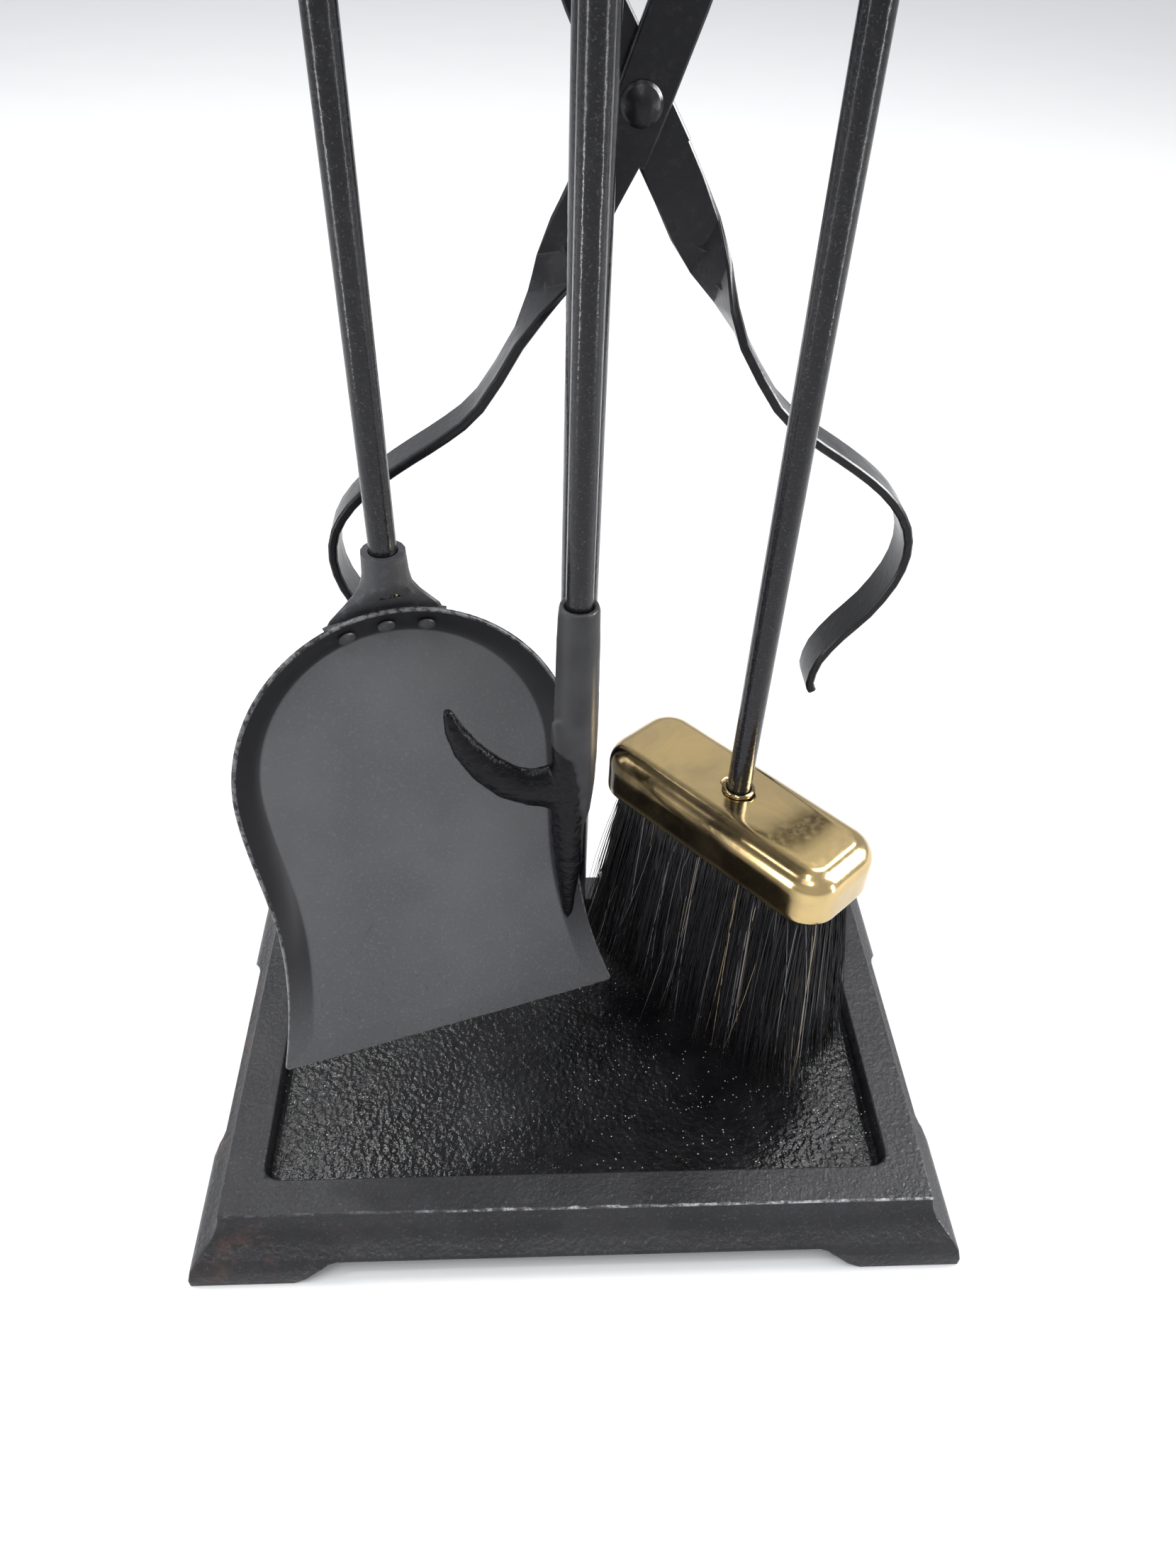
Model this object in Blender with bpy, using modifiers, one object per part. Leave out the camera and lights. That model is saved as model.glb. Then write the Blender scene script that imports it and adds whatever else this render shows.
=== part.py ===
"""Fireplace tool set: a cast base with an ash tray, a column with a four-fork holder, and four tools.

World frame: origin at the centre of the footprint on the hearth, +X right, +Y back, +Z up.
Driving dimensions are in millimetres; meshes are made in millimetres and scaled by MM.
"""

import math

import bmesh
import bpy
from mathutils import Matrix, Vector

MM = 0.001
GAP = 0.3  # clearance between neighbouring pieces
SEGMENTS = 24  # facets round a turned piece

# Base casting
TOP_HALF = (140.0, 87.5)
FOOT_HALF = (152.5, 101.5)
BASE_HEIGHT = 28.0
TRAY_HALF = (125.0, 72.6)
TRAY_FLOOR = 18.0
TRAY_CORNER = 7.0
CAVITY_TOP = 12.5
CAVITY_HALF = (144.0, 93.0)
APRON_RISE = 10.5
SIDE_APRON_RISE = 13.5
FRONT_FOOT = (114.0, 95.0)  # where a front foot stops being flat, and where its curve meets the apron
SIDE_FOOT = (61.0, 42.0)

# Column and holder
COLUMN = Vector((0.0, 57.0))
COLUMN_R = 6.9
STUD_R = 4.2
HOLDER_Z = 655.3
HOLDER_TURN = math.radians(-3.0)
ARM_THICK = 5.0
ARM_WIDTH = 10.0
HUB_R = 14.0
HUB_HEIGHT = 8.0
FORK_R = 13.0
FORK_HEIGHT = 9.0
SEAT_R = 9.2
SEAT_Z = 661.3
SLOT_HALF = 5.2
FORK_REACH = 78.0
SIDE_FORK = (67.9, 42.5)  # beside and ahead of the column, before the turn
REAR_REACH = 25.0

# What every tool shares
POKER_ROD_R = 4.1
ROD_R = 4.6
COLLAR_R = 8.5
COLLAR_Z = (SEAT_Z + GAP, SEAT_Z + GAP + 5.0)
HANDLE_Z = COLLAR_Z[1] + GAP
HANDLE_BORE = 20.0
HANDLE_LENGTH = 105.0

# Poker
SOCKET_DEEP = 20.0
POKER_SOCKET_Z = 262.0

# Shovel: a pan tilted forward on its rod
PAN_TURN = math.radians(17.6)
PAN_TILT = math.radians(17.0)
PAN_TOP_Z = 235.8
PAN_FORWARD = 4.8  # rim top, forward of the rod's axis
PAN_ASIDE = -2.0  # the pan's middle, beside the rod's axis
PAN_ARC_R = 60.2
PAN_WAIST = (56.3, 111.0)  # half width, and how far down it is
PAN_LENGTH = 168.0
PAN_EDGE_HALF = 66.0
PAN_DEPTH = 9.0
PAN_LIP = 9.5
PAN_SHEET = 1.5
BRACKET_THICK = 2.0
BRACKET_TOP_Z = 256.5
SHOVEL_LEAN = math.radians(-0.66)  # how each of these hangs from its collar, about Y
BRUSH_LEAN = math.radians(0.64)
RIVET_ALONG = (-15.0, 0.0, 15.0)

# Brush
BRUSH_TURN = math.radians(-48.0)
CAP_SIZE = (110.0, 42.0)
CAP_Z = (137.0, 158.0)
CAP_ROUND = 9.0
CAP_CORNER = 13.0
CAP_SHEET = 1.5
BRISTLE_TOP = (99.0, 34.0)
BRISTLE_END = (122.0, 49.0)
BRISTLE_Z = (40.0, 142.5)

# Tongs
PIVOT = Vector((15.0, 80.0, 371.0))
BAR_WIDTH = 17.0
BAR_THICK = 3.5
TONGS_LEAN = math.radians(2.5)
SWING_OPEN = math.radians(3.5)  # how much wider than its twin the swing arm's leg stands
JAW_SCALE = 0.975
TWIST = (28.0, 80.0)  # where along a leg it turns edge-on
TONGS_ROD_Z = 490.0
RIVET_R = 3.5

COLLECTION = bpy.data.collections.new("fireplace_tool_set")
CUTTERS = bpy.data.collections.new("cutters")


def clear_scene():
    for thing in list(bpy.data.objects):
        bpy.data.objects.remove(thing)
    bpy.context.scene.collection.children.link(COLLECTION)
    bpy.context.scene.collection.children.link(CUTTERS)
    CUTTERS.hide_render = True


def material(name, colour, roughness, metallic):
    made = bpy.data.materials.new(name)
    made.use_nodes = True
    shader = made.node_tree.nodes["Principled BSDF"]
    shader.inputs["Base Color"].default_value = (*colour, 1.0)
    shader.inputs["Roughness"].default_value = roughness
    shader.inputs["Metallic"].default_value = metallic
    return made


def empty(name, place, parent=None):
    made = bpy.data.objects.new(name, None)
    made.location = Vector(place) * MM
    COLLECTION.objects.link(made)
    if parent:
        made.parent = parent
        made.location -= parent.location
    return made


def add_object(name, bm, finish, parent, place=(0, 0, 0), turn=(0, 0, 0)):
    """Makes an object from a mesh in millimetres. The place is in the world, also under a parent."""
    bmesh.ops.scale(bm, vec=(MM, MM, MM), verts=bm.verts)
    mesh = bpy.data.meshes.new(name)
    bm.to_mesh(mesh)
    bm.free()
    mesh.shade_smooth()
    mesh.set_sharp_from_angle(angle=math.radians(38))
    made = bpy.data.objects.new(name, mesh)
    COLLECTION.objects.link(made)
    made.location = Vector(place) * MM
    made.rotation_euler = turn
    if parent:
        made.parent = parent
        base = parent.location + (parent.parent.location if parent.parent else Vector())
        made.location -= base
    if finish:
        mesh.materials.append(finish)
    return made


def boolean(target, other, operation):
    """Joins or cuts with another object, which is kept as a hidden helper."""
    COLLECTION.objects.unlink(other)
    CUTTERS.objects.link(other)
    other.hide_render = True
    other.display_type = "WIRE"
    step = target.modifiers.new(operation.lower(), "BOOLEAN")
    step.operation = operation
    step.solver = "EXACT"
    step.object = other


def cut(target, other):
    boolean(target, other, "DIFFERENCE")


def join(target, other):
    boolean(target, other, "UNION")


def turned(name, profile, finish, parent, place=(0, 0, 0), turn=(0, 0, 0), segments=SEGMENTS):
    """A Screw round Z of (radius, height) points, top to bottom on the outer side.

    A profile that starts and ends on the axis is solid; any other one closes on itself as a ring.
    """
    bm = bmesh.new()
    verts = [bm.verts.new((r, 0, z)) for r, z in profile]
    pairs = list(zip(verts, verts[1:]))
    if profile[0][0] > 0:
        pairs.append((verts[-1], verts[0]))
    for pair in pairs:
        bm.edges.new(pair)
    made = add_object(name, bm, finish, parent, place, turn)
    screw = made.modifiers.new("turn", "SCREW")
    screw.axis = "Z"
    screw.steps = segments
    screw.render_steps = segments
    screw.use_merge_vertices = True
    screw.merge_threshold = 0.00005
    screw.use_smooth_shade = True
    return made


def loft(rings, caps=True):
    """Quads between rings of equal count, the ends closed by flat faces."""
    bm = bmesh.new()
    rows = [[bm.verts.new(point) for point in ring] for ring in rings]
    count = len(rows[0])
    for low, high in zip(rows, rows[1:]):
        for i in range(count):
            j = (i + 1) % count
            bm.faces.new((low[i], low[j], high[j], high[i]))
    if caps:
        bm.faces.new(reversed(rows[0]))
        bm.faces.new(rows[-1])
    bmesh.ops.recalc_face_normals(bm, faces=bm.faces)
    return bm


def box(low, high):
    bm = bmesh.new()
    bmesh.ops.create_cube(bm, size=1.0)
    size = Vector(high) - Vector(low)
    bmesh.ops.scale(bm, vec=size, verts=bm.verts)
    bmesh.ops.translate(bm, vec=(Vector(low) + Vector(high)) / 2, verts=bm.verts)
    return bm


def cylinder(radius, low, high, segments=SEGMENTS):
    bm = bmesh.new()
    bmesh.ops.create_cone(
        bm, cap_ends=True, segments=segments, radius1=radius, radius2=radius, depth=high - low
    )
    bmesh.ops.translate(bm, vec=(0, 0, (low + high) / 2), verts=bm.verts)
    return bm


def prism(outline, axis, half):
    """An outline in (across, height), extruded both ways along X or Y."""
    bm = bmesh.new()
    place = (lambda a, z: (a, -half, z)) if axis == "Y" else (lambda a, z: (-half, a, z))
    face = bm.faces.new([bm.verts.new(place(a, z)) for a, z in outline])
    grown = bmesh.ops.extrude_face_region(bm, geom=[face])["geom"]
    moved = [g for g in grown if isinstance(g, bmesh.types.BMVert)]
    along = (0, 2 * half, 0) if axis == "Y" else (2 * half, 0, 0)
    bmesh.ops.translate(bm, vec=along, verts=moved)
    bmesh.ops.recalc_face_normals(bm, faces=bm.faces)
    return bm


def rounded_rectangle(half_x, half_y, radius, z, steps=4):
    ring = []
    for quarter, (sx, sy) in enumerate(((1, 1), (-1, 1), (-1, -1), (1, -1))):
        for i in range(steps + 1):
            angle = math.pi / 2 * (quarter + i / steps)
            ring.append(
                (
                    sx * (half_x - radius) + radius * math.cos(angle),
                    sy * (half_y - radius) + radius * math.sin(angle),
                    z,
                )
            )
    return ring


def smooth_step(t):
    t = min(max(t, 0.0), 1.0)
    return t * t * (3 - 2 * t)


def hermite(t, a, b, slope_a, slope_b):
    return (
        (2 * t**3 - 3 * t**2 + 1) * a
        + (t**3 - 2 * t**2 + t) * slope_a
        + (3 * t**2 - 2 * t**3) * b
        + (t**3 - t**2) * slope_b
    )


def spline(points, per_span=4):
    """Points along a Catmull-Rom curve through the given ones."""
    ends = [2 * points[0] - points[1], *points, 2 * points[-1] - points[-2]]
    path = []
    for p0, p1, p2, p3 in zip(ends, ends[1:], ends[2:], ends[3:]):
        for i in range(per_span):
            path.append(hermite(i / per_span, p1, p2, (p2 - p0) / 2, (p3 - p1) / 2))
    return [*path, points[-1]]


# Materials
IRON = material("black_cast_iron", (0.03, 0.03, 0.032), 0.5, 0.3)
STEEL = material("black_painted_steel", (0.025, 0.025, 0.027), 0.35, 0.2)
PAN_STEEL = material("grey_steel_sheet", (0.16, 0.16, 0.16), 0.4, 0.6)
BRASS = material("aged_brass", (0.5, 0.33, 0.1), 0.35, 1.0)
ZINC = material("zinc_plated_steel", (0.5, 0.5, 0.52), 0.4, 1.0)
WOOD = material("beech_wood", (0.5, 0.33, 0.18), 0.6, 0.0)
BRISTLE = material("black_bristle", (0.02, 0.019, 0.018), 0.7, 0.0)


def ogee():
    """(outward fraction, depth) down the side: a small bead, a cove and a foot moulding."""
    return (
        (0.0, 0.0),
        (0.02, 3.0),
        (0.09, 6.5),
        (0.25, 10.5),
        (0.5, 13.2),
        (0.74, 16.0),
        (0.91, 19.5),
        (1.0, 24.0),
        (1.0, BASE_HEIGHT),
    )


def apron_outline(flat_to, curve_to, rise):
    """The open arch under one side, between two bracket feet."""
    steps = 6
    right = [
        (flat_to - (flat_to - curve_to) * i / steps, rise * smooth_step(i / steps))
        for i in range(steps + 1)
    ]
    right[0] = (flat_to, -1.0)
    return [*right, *[(-a, z) for a, z in reversed(right)]]


def base_casting(parent):
    rings = []
    for out, depth in ogee():
        half = [t + (f - t) * out for t, f in zip(TOP_HALF, FOOT_HALF)]
        z = BASE_HEIGHT - depth
        corners = ((1, 1), (-1, 1), (-1, -1), (1, -1))
        rings.append([(sx * half[0], sy * half[1], z) for sx, sy in corners])
    base = add_object("base_casting", loft(rings), IRON, parent)
    tray = [
        rounded_rectangle(TRAY_HALF[0] + grow, TRAY_HALF[1] + grow, TRAY_CORNER + grow, z)
        for grow, z in (
            (0.4, BASE_HEIGHT + 1),
            (0.0, BASE_HEIGHT - 1),
            (-0.9, TRAY_FLOOR + 2.2),
            (-2.4, TRAY_FLOOR + 0.5),
            (-4.0, TRAY_FLOOR),
        )
    ]
    cut(base, add_object("cutter_tray", loft(tray), None, parent))
    cavity = [
        rounded_rectangle(CAVITY_HALF[0] - shrink, CAVITY_HALF[1] - shrink, 6.0, z, steps=1)
        for shrink, z in ((0.0, -1.0), (0.5, 6.0), (11.0, CAVITY_TOP))
    ]
    cut(base, add_object("cutter_cavity", loft(cavity), None, parent))
    front = prism(apron_outline(*FRONT_FOOT, APRON_RISE), "Y", FOOT_HALF[1] + 5)
    cut(base, add_object("cutter_front_apron", front, None, parent))
    side = prism(apron_outline(*SIDE_FOOT, SIDE_APRON_RISE), "X", FOOT_HALF[0] + 5)
    cut(base, add_object("cutter_side_apron", side, None, parent))
    hole = add_object("cutter_stud_hole", cylinder(STUD_R + GAP, 5, 25), None, parent, (*COLUMN, 0))
    cut(base, hole)


def column(parent):
    at = (*COLUMN, 0)
    foot = TRAY_FLOOR + GAP
    top = HOLDER_Z - GAP
    turned(
        "column",
        (
            (0, 690),
            (STUD_R - 0.8, 690),
            (STUD_R, 689),
            (STUD_R, top),
            (COLUMN_R - 0.8, top),
            (COLUMN_R, top - 0.8),
            (COLUMN_R, foot + 0.8),
            (COLUMN_R - 0.8, foot),
            (STUD_R, foot),
            (STUD_R, 4),
            (STUD_R - 0.8, 3.2),
            (0, 3.2),
        ),
        STEEL,
        parent,
        at,
    )
    top = CAVITY_TOP - GAP
    bore = STUD_R + GAP
    washer = ((9.5, top), (9.5, top - 1.3), (bore, top - 1.3), (bore, top))
    turned("column_washer", washer, ZINC, parent, at)
    nut("column_nut", 7.6, top - 1.6 - 6.2, top - 1.6, bore, parent, at)


def nut(name, corner_r, low, high, bore_r, parent, at):
    made = add_object(name, cylinder(corner_r, low, high, segments=6), ZINC, parent, at)
    hole = add_object("cutter_" + name, cylinder(bore_r, low - 1, high + 1), None, parent, at)
    cut(made, hole)


def fork_places():
    """Each fork's centre and the way that its slot opens, in the world."""
    turn = Matrix.Rotation(HOLDER_TURN, 2)
    side, ahead = SIDE_FORK
    forks = {
        "poker": (Vector((0, -FORK_REACH)), Vector((0, -1))),
        "shovel": (Vector((-side, -ahead)), Vector((-1, 0))),
        "brush": (Vector((side, -ahead)), Vector((1, 0))),
        "tongs": (Vector((0, REAR_REACH)), Vector((0, 1))),
    }
    return {tool: (COLUMN + turn @ at, turn @ way) for tool, (at, way) in forks.items()}


def tool_holder(parent, forks):
    hub = cylinder(HUB_R, HOLDER_Z, HOLDER_Z + HUB_HEIGHT)
    holder = add_object("tool_holder", hub, IRON, parent, (*COLUMN, 0))
    low = HOLDER_Z + 0.5
    for tool, (centre, way) in forks.items():
        reach = centre - COLUMN
        arm = box((0, -ARM_WIDTH / 2, low), (reach.length, ARM_WIDTH / 2, low + ARM_THICK))
        facing = (0, 0, math.atan2(reach.y, reach.x))
        join(holder, add_object("joined_arm_" + tool, arm, None, parent, (*COLUMN, 0), facing))
    for tool, (centre, way) in forks.items():
        head = cylinder(FORK_R, HOLDER_Z, HOLDER_Z + FORK_HEIGHT)
        join(holder, add_object("joined_head_" + tool, head, None, parent, (*centre, 0)))
    for tool, (centre, way) in forks.items():
        facing = (0, 0, math.atan2(way.y, way.x))
        at = (*centre, 0)
        for kind, half, low, high in (
            ("seat", SEAT_R, SEAT_Z, SEAT_Z + 20),
            ("slot", SLOT_HALF, HOLDER_Z - 5, SEAT_Z + 10),
        ):
            channel = channel_outline(half, low, high)
            cut(holder, add_object(f"cutter_{kind}_{tool}", channel, None, parent, at, facing))
    hole = cylinder(STUD_R + GAP, HOLDER_Z - 5, HOLDER_Z + HUB_HEIGHT + 5)
    cut(holder, add_object("cutter_hub_hole", hole, None, parent, (*COLUMN, 0)))


def channel_outline(half, low, high):
    """A U-shaped channel: round at the origin, and open towards +X."""
    steps = 10
    arc = [math.pi / 2 + math.pi * i / steps for i in range(steps + 1)]
    outline = [(half * math.cos(a), half * math.sin(a)) for a in arc] + [(30, -half), (30, half)]
    return loft([[(x, y, z) for x, y in outline] for z in (low, high)])


def grip_profile(length, bore_r, bore_deep, base_r, grip_r, ball_r):
    """A turned grip: a flange, a cove, a bead, a swelling barrel, a neck and a ball."""
    ball = length - ball_r
    outer = [(0, length), (ball_r * 0.5, length - ball_r * 0.13)]
    outer += [(ball_r * math.sin(a), ball + ball_r * math.cos(a)) for a in (1.0, 1.57, 2.2)]
    outer += [
        (ball_r * 0.52, ball - ball_r * 0.93),
        (grip_r * 0.8, ball - ball_r * 0.93 - 5),
        (grip_r * 0.96, length * 0.62),
        (grip_r, length * 0.47),
        (grip_r * 0.92, length * 0.3),
        (grip_r * 0.74, length * 0.16),
        (grip_r * 0.88, length * 0.12),
        (grip_r * 0.88, length * 0.095),
        (grip_r * 0.7, length * 0.06),
        (base_r, length * 0.028),
        (base_r, 0),
    ]
    return [*outer, (bore_r, 0), (bore_r, bore_deep), (0, bore_deep)]


def collar_and_handle(tool, rod_r, parent, at):
    bore = rod_r + GAP
    low, high = COLLAR_Z
    outer = ((COLLAR_R - 0.6, high), (COLLAR_R, high - 0.6), (COLLAR_R, low + 0.6), (COLLAR_R - 0.6, low))
    turned(tool + "_collar", (*outer, (bore, low), (bore, high)), BRASS, parent, at)
    profile = grip_profile(HANDLE_LENGTH, bore, HANDLE_BORE, 8.0, 9.2, 9.6)
    turned(tool + "_handle", profile, BRASS, parent, (*at[:2], HANDLE_Z))


def straight_rod(tool, rod_r, low, parent, at):
    top = HANDLE_Z + HANDLE_BORE - GAP
    chamfer = 0.5
    profile = (
        (0, top),
        (rod_r - chamfer, top),
        (rod_r, top - chamfer),
        (rod_r, low + chamfer),
        (rod_r - chamfer, low),
        (0, low),
    )
    return turned(tool + "_rod", profile, STEEL, parent, at, segments=20)


def finial(parent):
    low = HOLDER_Z + HUB_HEIGHT + GAP
    profile = grip_profile(121.4, STUD_R + GAP, 28.0, 11.4, 11.0, 11.0)
    turned("finial_handle", profile, BRASS, parent, (*COLUMN, low))


def oval_ring(centre, across, along, half_across, half_along, count=10):
    """An oval section at a point, spanned by two directions."""
    ring = []
    for i in range(count):
        angle = 2 * math.pi * i / count
        ring.append(centre + across * half_across * math.cos(angle) + along * half_along * math.sin(angle))
    return ring


def poker(parent, at):
    collar_and_handle("poker", POKER_ROD_R, parent, at)
    bottom = POKER_SOCKET_Z - SOCKET_DEEP
    straight_rod("poker", POKER_ROD_R, bottom + GAP, parent, at)
    bore = POKER_ROD_R + GAP
    head = turned(
        "poker_head",
        (
            (6.3, POKER_SOCKET_Z),
            (6.8, 250),
            (7.2, 223),
            (7.2, 205),
            (6.9, 193),
            (5.8, 180),
            (3.5, 170),
            (0, 164),
            (0, bottom),
            (bore, bottom),
            (bore, POKER_SOCKET_Z),
        ),
        IRON,
        parent,
        at,
        segments=16,
    )
    right = Vector((1, 0, 0))
    toward = Vector((0, 1, 0))
    up = Vector((0, 0, 1))
    # Spear: (left, right, height, half thickness, forward of the axis), beside the sleeve
    spear = (
        (-8.3, -4.6, 221, 1.5, 4.2),
        (-8.2, -1.3, 214, 4.0, 3.6),
        (-8.2, 1.4, 204, 5.2, 3.0),
        (-8.4, 3.1, 185, 5.6, 2.2),
        (-8.2, 3.9, 171, 5.6, 1.6),
        (-6.9, 3.8, 156, 5.0, 1.0),
        (-5.2, 2.2, 141, 3.8, 0.6),
        (-3.1, 0.9, 126, 1.9, 0.2),
        (-1.6, -0.4, 123, 0.7, 0.2),
    )
    rings = [
        oval_ring(Vector(((a + b) / 2, -forward, z)), right, toward, (b - a) / 2, thick)
        for a, b, z, thick, forward in spear
    ]
    join(head, add_object("joined_spear", loft(rings), None, parent, at))
    # Hook: (across, height, half height of the section, half thickness) along its middle, root first
    hook = (
        (-2, 191, 12.0, 4.2),
        (-9, 192, 9.5, 4.0),
        (-15, 191.5, 8.0, 3.6),
        (-22, 194, 7.5, 3.4),
        (-29, 200, 6.5, 3.2),
        (-35, 208, 5.2, 3.0),
        (-39, 217, 3.4, 2.5),
        (-40.6, 224.5, 1.6, 1.4),
    )
    middle = [Vector((x, -2.4, z)) for x, z, _, _ in hook]
    rings = []
    for i, (_, _, half, thick) in enumerate(hook):
        heading = (middle[min(i + 1, len(hook) - 1)] - middle[max(i - 1, 0)]).normalized()
        across = heading.cross(toward)
        rings.append(oval_ring(middle[i], across, toward, half, thick))
    join(head, add_object("joined_hook", loft(rings), None, parent, at))


# Shovel pan, in (across, down, forward) of its rim plane
def pan_half_width(down):
    waist, waist_down = PAN_WAIST
    if down <= waist_down:
        t = (down - PAN_ARC_R) / (waist_down - PAN_ARC_R)
        return hermite(t, PAN_ARC_R, waist, 0.0, 0.0)
    span = PAN_LENGTH - waist_down
    return hermite((down - waist_down) / span, waist, PAN_EDGE_HALF, 0.0, 0.3 * span)


def pan_outline():
    """(across, down) anticlockwise seen from the front: the round top, waisted sides, straight edge."""
    arc_steps = 18
    arc = [math.pi * i / arc_steps for i in range(arc_steps + 1)]
    top = [(-PAN_ARC_R * math.cos(a), PAN_ARC_R - PAN_ARC_R * math.sin(a)) for a in arc]
    side_steps = 8
    drop = PAN_LENGTH - 2.0 - PAN_ARC_R
    right = [PAN_ARC_R + drop * i / side_steps for i in range(1, side_steps + 1)]
    right = [(pan_half_width(down), down) for down in right]
    edge = [(x, PAN_LENGTH) for x in (64.0, 44.0, 22.0, 0.0, -22.0, -44.0, -64.0)]
    left = [(-x, down) for x, down in reversed(right)]
    return [*top, *right, *edge, *left]


def pan_depth(down):
    return PAN_DEPTH * (1 - smooth_step((down - 65) / (PAN_LENGTH - 67)))


def lip_depth(share):
    """How far back the surface is, as a share of the depth, across the sloping lip."""
    share = min(max(share, 0.0), 1.0)
    return 0.45 * share + 0.55 * math.sin(share * math.pi / 2)


def inset_outline(outline, inset):
    count = len(outline)
    moved = []
    for i in range(count):
        before = Vector(outline[i - 1])
        after = Vector(outline[(i + 1) % count])
        heading = (after - before).normalized()
        moved.append(Vector(outline[i]) + Vector((-heading.y, heading.x)) * inset)
    return moved


def pan_frame(at):
    """The pan's axes as a matrix: across, down and forward, from the rim's top."""
    across = Vector((math.cos(PAN_TURN), math.sin(PAN_TURN), 0))
    ahead = Vector((math.sin(PAN_TURN), -math.cos(PAN_TURN), 0))
    down = Vector((0, 0, -math.cos(PAN_TILT))) + ahead * math.sin(PAN_TILT)
    forward = down.cross(across)
    top = Vector((*at[:2], PAN_TOP_Z)) + ahead * PAN_FORWARD + across * PAN_ASIDE
    return across, down, forward, top


def pan_point(frame, across, down, forward):
    a, d, f, top = frame
    return top + a * across + d * down + f * forward


def shovel_blade(parent, at):
    frame = pan_frame(at)
    outline = pan_outline()
    loops = []
    for share in (0.0, 0.2, 0.45, 0.7, 1.0):
        loop = inset_outline(outline, PAN_LIP * share)
        loops.append([(p.x, p.y, -pan_depth(p.y) * lip_depth(share)) for p in loop])
    middle = Vector((0, 92))
    for scale in (0.62, 0.28):
        loop = [middle + (Vector(p[:2]) - middle) * scale for p in loops[4]]
        loops.append([(p.x, p.y, -pan_depth(p.y)) for p in loop])
    bm = bmesh.new()
    offset = Vector((*at[:2], 0))
    rows = [[bm.verts.new(pan_point(frame, *p) - offset) for p in loop] for loop in loops]
    count = len(outline)
    for outer, inner in zip(rows, rows[1:]):
        for i in range(count):
            j = (i + 1) % count
            bm.faces.new((outer[i], inner[i], inner[j], outer[j]))
    hub = bm.verts.new(pan_point(frame, middle.x, middle.y, -pan_depth(middle.y)) - offset)
    for i in range(count):
        bm.faces.new((rows[-1][i], hub, rows[-1][(i + 1) % count]))
    blade = add_object("shovel_blade", bm, PAN_STEEL, parent, at)
    shell = blade.modifiers.new("sheet", "SOLIDIFY")
    shell.thickness = PAN_SHEET * MM
    shell.offset = -1.0
    return blade


def lip_point(frame, across, share, lift):
    """A point on the round top of the lip, lifted off its outer side, and the way it was lifted."""
    angle = math.asin(across / PAN_ARC_R)

    def surface(share_here):
        radius = PAN_ARC_R - PAN_LIP * share_here
        down = PAN_ARC_R - radius * math.cos(angle)
        return Vector((radius * math.sin(angle), down, -pan_depth(down) * lip_depth(share_here)))

    slope = (surface(share + 0.02) - surface(share - 0.02)).normalized()
    round_way = Vector((math.cos(angle), math.sin(angle), 0))
    outward = slope.cross(round_way).normalized()
    if outward.z > 0:
        outward = -outward
    lifted = surface(share) + outward * lift
    a, d, f, _ = frame
    return pan_point(frame, *lifted), a * outward.x + d * outward.y + f * outward.z


def shovel_bracket(parent, at):
    frame = pan_frame(at)
    offset = Vector((*at[:2], 0))
    inner = PAN_SHEET + GAP
    rings = []
    for share in (0.16, 0.35, 0.55, 0.8, 1.02):
        half = 20.5 - 3.0 * max(0.0, share - 0.7) / 0.3
        across = [half * (2 * i / 8 - 1) for i in range(9)]
        front = [lip_point(frame, a, share, inner)[0] - offset for a in across]
        back = [lip_point(frame, a, share, inner + BRACKET_THICK)[0] - offset for a in reversed(across)]
        rings.append(front + back)
    tongue = loft(rings)
    bracket = add_object("shovel_bracket", tongue, IRON, parent, at)
    ahead = Vector((math.sin(PAN_TURN), -math.cos(PAN_TURN), 0))
    across = Vector((math.cos(PAN_TURN), math.sin(PAN_TURN), 0))
    # Neck: (height, aside, forward, half width, half thickness, how much its ends follow the rim down)
    neck = (
        (BRACKET_TOP_Z, 0.0, 0.0, 7.3, 7.3, 0.0),
        (248.0, 0.0, 0.0, 7.8, 7.8, 0.0),
        (244.5, -0.3, 0.0, 8.8, 6.2, 0.3),
        (241.5, -0.8, 0.0, 11.5, 4.0, 0.6),
        (239.2, -1.3, 0.0, 15.0, 2.4, 0.85),
        (237.2, -1.7, 0.1, 18.5, 1.5, 1.0),
        (235.0, -2.0, 0.2, 20.0, 0.9, 1.0),
    )
    rings = []
    for z, aside, forward, wide, thick, follow in neck:
        centre = across * aside + ahead * forward + Vector((0, 0, z))
        ring = oval_ring(centre, across, ahead, wide, thick, count=16)
        for point in ring:
            drop = follow * (point - centre).dot(across) ** 2 / (2 * PAN_ARC_R)
            point += ahead * drop * math.tan(PAN_TILT) - Vector((0, 0, drop))
        rings.append(ring)
    join(bracket, add_object("joined_neck", loft(rings), None, parent, at))
    bore = cylinder(ROD_R + GAP, BRACKET_TOP_Z - 16, BRACKET_TOP_Z + 5)
    cut(bracket, add_object("cutter_shovel_socket", bore, None, parent, at))
    return bracket


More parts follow.
